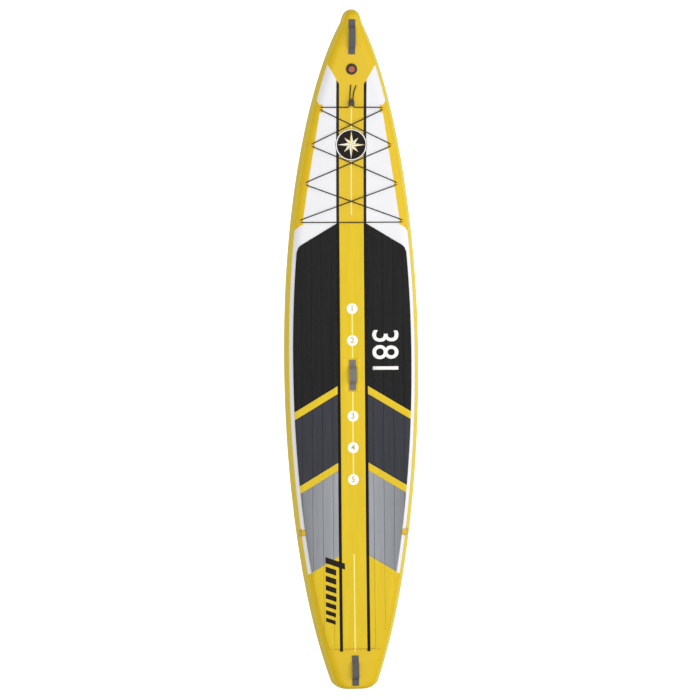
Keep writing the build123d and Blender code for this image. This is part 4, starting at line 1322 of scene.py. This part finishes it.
def make_valve():
    """Screw-down cap with finger scallops, and an orange dial with raised vanes in it."""
    scallop_step = 2.5
    cap = turned("valve_cap_grip", [
        (0.0, 0.0010), (0.0146, 0.0010), (0.0152, 0.0016), (0.0152, 0.0022), (0.0138, 0.0022),
        (0.0138, 0.0044), (0.0152, 0.0044), (0.0152, 0.0064), (0.0156, 0.0064), (0.0156, 0.0070),
        (0.0222, 0.0070), (0.0227, 0.0075), (0.0229, 0.0090), (0.0226, 0.0105), (0.0218, 0.0117),
        (0.0206, 0.0120), (0.0197, 0.0119), (0.0196, 0.0111), (0.0, 0.0111)], 144)
    edit(cap)
    choose(cap, "VERT", lambda v: v.co.xy.length > 0.0215 and v.co.z > 0.0072
           and round(math.degrees(math.atan2(v.co.y, v.co.x)) / scallop_step) % 6 in (0, 1))
    bpy.ops.transform.resize(value=(0.962, 0.962, 1), center_override=(0, 0, 0.009))
    put_down()
    smooth(cap, 45)
    settle(cap, VALVE_PLACE)
    fit(cap, "valve_cap", [VALVE_PLASTIC], ("valve_cap",))
    dial = turned("valve_cap_dial", [
        (0.0, 0.0112), (0.0193, 0.0112), (0.0193, 0.0116), (0.0188, 0.0119), (0.0170, 0.0119),
        (0.0166, 0.0114), (0.0, 0.0114)], 96)
    vanes = []
    for first_angle in range(0, 360, 60):
        def curl(u, v):
            radius = 0.0035 + 0.0125 * v
            width = 0.0022 + 0.0006 * math.sin(math.pi * v)
            turn = math.radians(first_angle + 55 * v) + (u - 0.5) * width / radius
            return Vector((radius * math.cos(turn), radius * math.sin(turn), 0.01135))

        vane = start_grid("valve_vane", 2, 10)
        place_points(vane, curl)
        vanes.append(vane)
    vane_set = join_pieces(vanes, "valve_vanes")
    face_up(vane_set)
    thicken(vane_set, 0.00055, 1.0)
    soften_edges(vane_set, 0.00012, 1, 60)
    dial = join_pieces([dial, vane_set], "valve_cap_dial")
    smooth(dial, 40)
    for face in dial.data.polygons:
        face.material_index = 1 if face.center.xy.length > 0.0162 or face.center.z > 0.01145 else 0
    settle(dial, VALVE_PLACE)
    fit(dial, "valve_cap", [ORANGE_PLASTIC, VALVE_PLASTIC], ("cap_label",))


# ---------------------------------------------------------------- fin
FIN_Y_AXIS = (0.0, 0.998803, -0.048911)
FIN_DOWN = (0.0, -0.048911, -0.998803)
FIN_PLACE = tilted_frame((0.0, -1.450, rocker(-1.450)), FIN_Y_AXIS, FIN_DOWN)


def foil_blade():
    """Swept fin blade with a foiled section, root at the hull and tip down in the water."""
    root, depth = 0.0312, 0.208
    half_thick = 0.0042
    blade = start_grid("fin_blade", 44, 40)

    def lay(u, v):
        drop = math.sin(v * math.pi / 2)
        turn = 2 * math.pi * u
        chord = 0.5 - 0.5 * math.cos(turn)
        side = 1 if math.sin(turn) >= 0 else -1
        tip = math.sqrt(max(1 - drop ** 8, 0.0))
        nose_y = 0.086 - 0.043 * drop - 0.191 * drop ** 2
        heel_y = -0.110 - 0.0092 * drop - 0.0388 * drop ** 2
        middle = heel_y + (nose_y - heel_y) * 0.30
        nose_y = middle + (nose_y - middle) * tip
        heel_y = middle + (heel_y - middle) * tip
        thick = half_thick * (1 - 0.5 * drop) * tip
        foil = 2.6 * math.sqrt(chord) * (1 - chord)
        return Vector((side * thick * foil, nose_y + (heel_y - nose_y) * chord, root + depth * drop))

    place_points(blade, lay)
    weld(blade, 0.00002)
    edit(blade)
    choose(blade, "EDGE", lambda e: e.is_boundary)
    bpy.ops.mesh.edge_face_add()
    face_out()
    settle(blade, FIN_PLACE)
    return blade


def make_fin():
    """The moulded base tab that sits in the box, with the foiled blade below it."""
    tab = copy_piece(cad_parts["fin"], "fin_tab")
    settle(tab, tab.matrix_world.copy())
    weld(tab)
    edit(tab)
    bpy.ops.mesh.bisect(plane_co=FIN_PLACE @ Vector((0, 0, 0.0314)), plane_no=FIN_DOWN, use_fill=True,
                        clear_inner=False, clear_outer=True)
    face_out()
    fin = join_pieces([foil_blade(), tab], "fin_moulding")
    smooth(fin, 40)
    fit(fin, "fin", [FIN_PLASTIC], ("fin",))


def make_node_finishes():
    """Solids that are already right keep their shape and get their real finish."""
    finishes = {
        YELLOW_CLOTH: ("nose_handle_patches", "tail_handle_patches", "centre_handle_patches",
                       "bungee_patches", "side_patch_left", "side_patch_right", "fin_box_patch"),
        YELLOW_WEBBING: ("bungee_loops", "side_loop_left", "side_loop_right"),
        PAD_RUBBER: ("centre_handle_padding",),
        BLACK_PLASTIC: ("cord_lock_barrel", "cord_lock_plunger", "fin_box", "cap_strap"),
        VALVE_PLASTIC: ("valve_body", "valve_nut", "valve_stem"),
        SEAL_RUBBER: ("valve_gasket", "valve_disc", "cap_o_ring"),
        STEEL: ("valve_spring", "cord_lock_spring", "side_ring_left", "side_ring_right", "fin_screw",
                "cap_hinge_pin"),
        BRASS: ("fin_pin", "fin_nut_plate"),
        CORE_CLOTH: [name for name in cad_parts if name.startswith("drop_stitch_core")]}
    for finish, names in finishes.items():
        for name in names:
            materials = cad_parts[name].data.materials
            materials.clear()
            materials.append(finish)


make_camera()
make_studio()
make_bungee()
make_deck_cloth()
make_bottom_cloth()
make_rail_tape()
make_pads()
make_centre_foam()
make_marks()
make_handles()
make_valve()
make_fin()
make_node_finishes()
put_down()
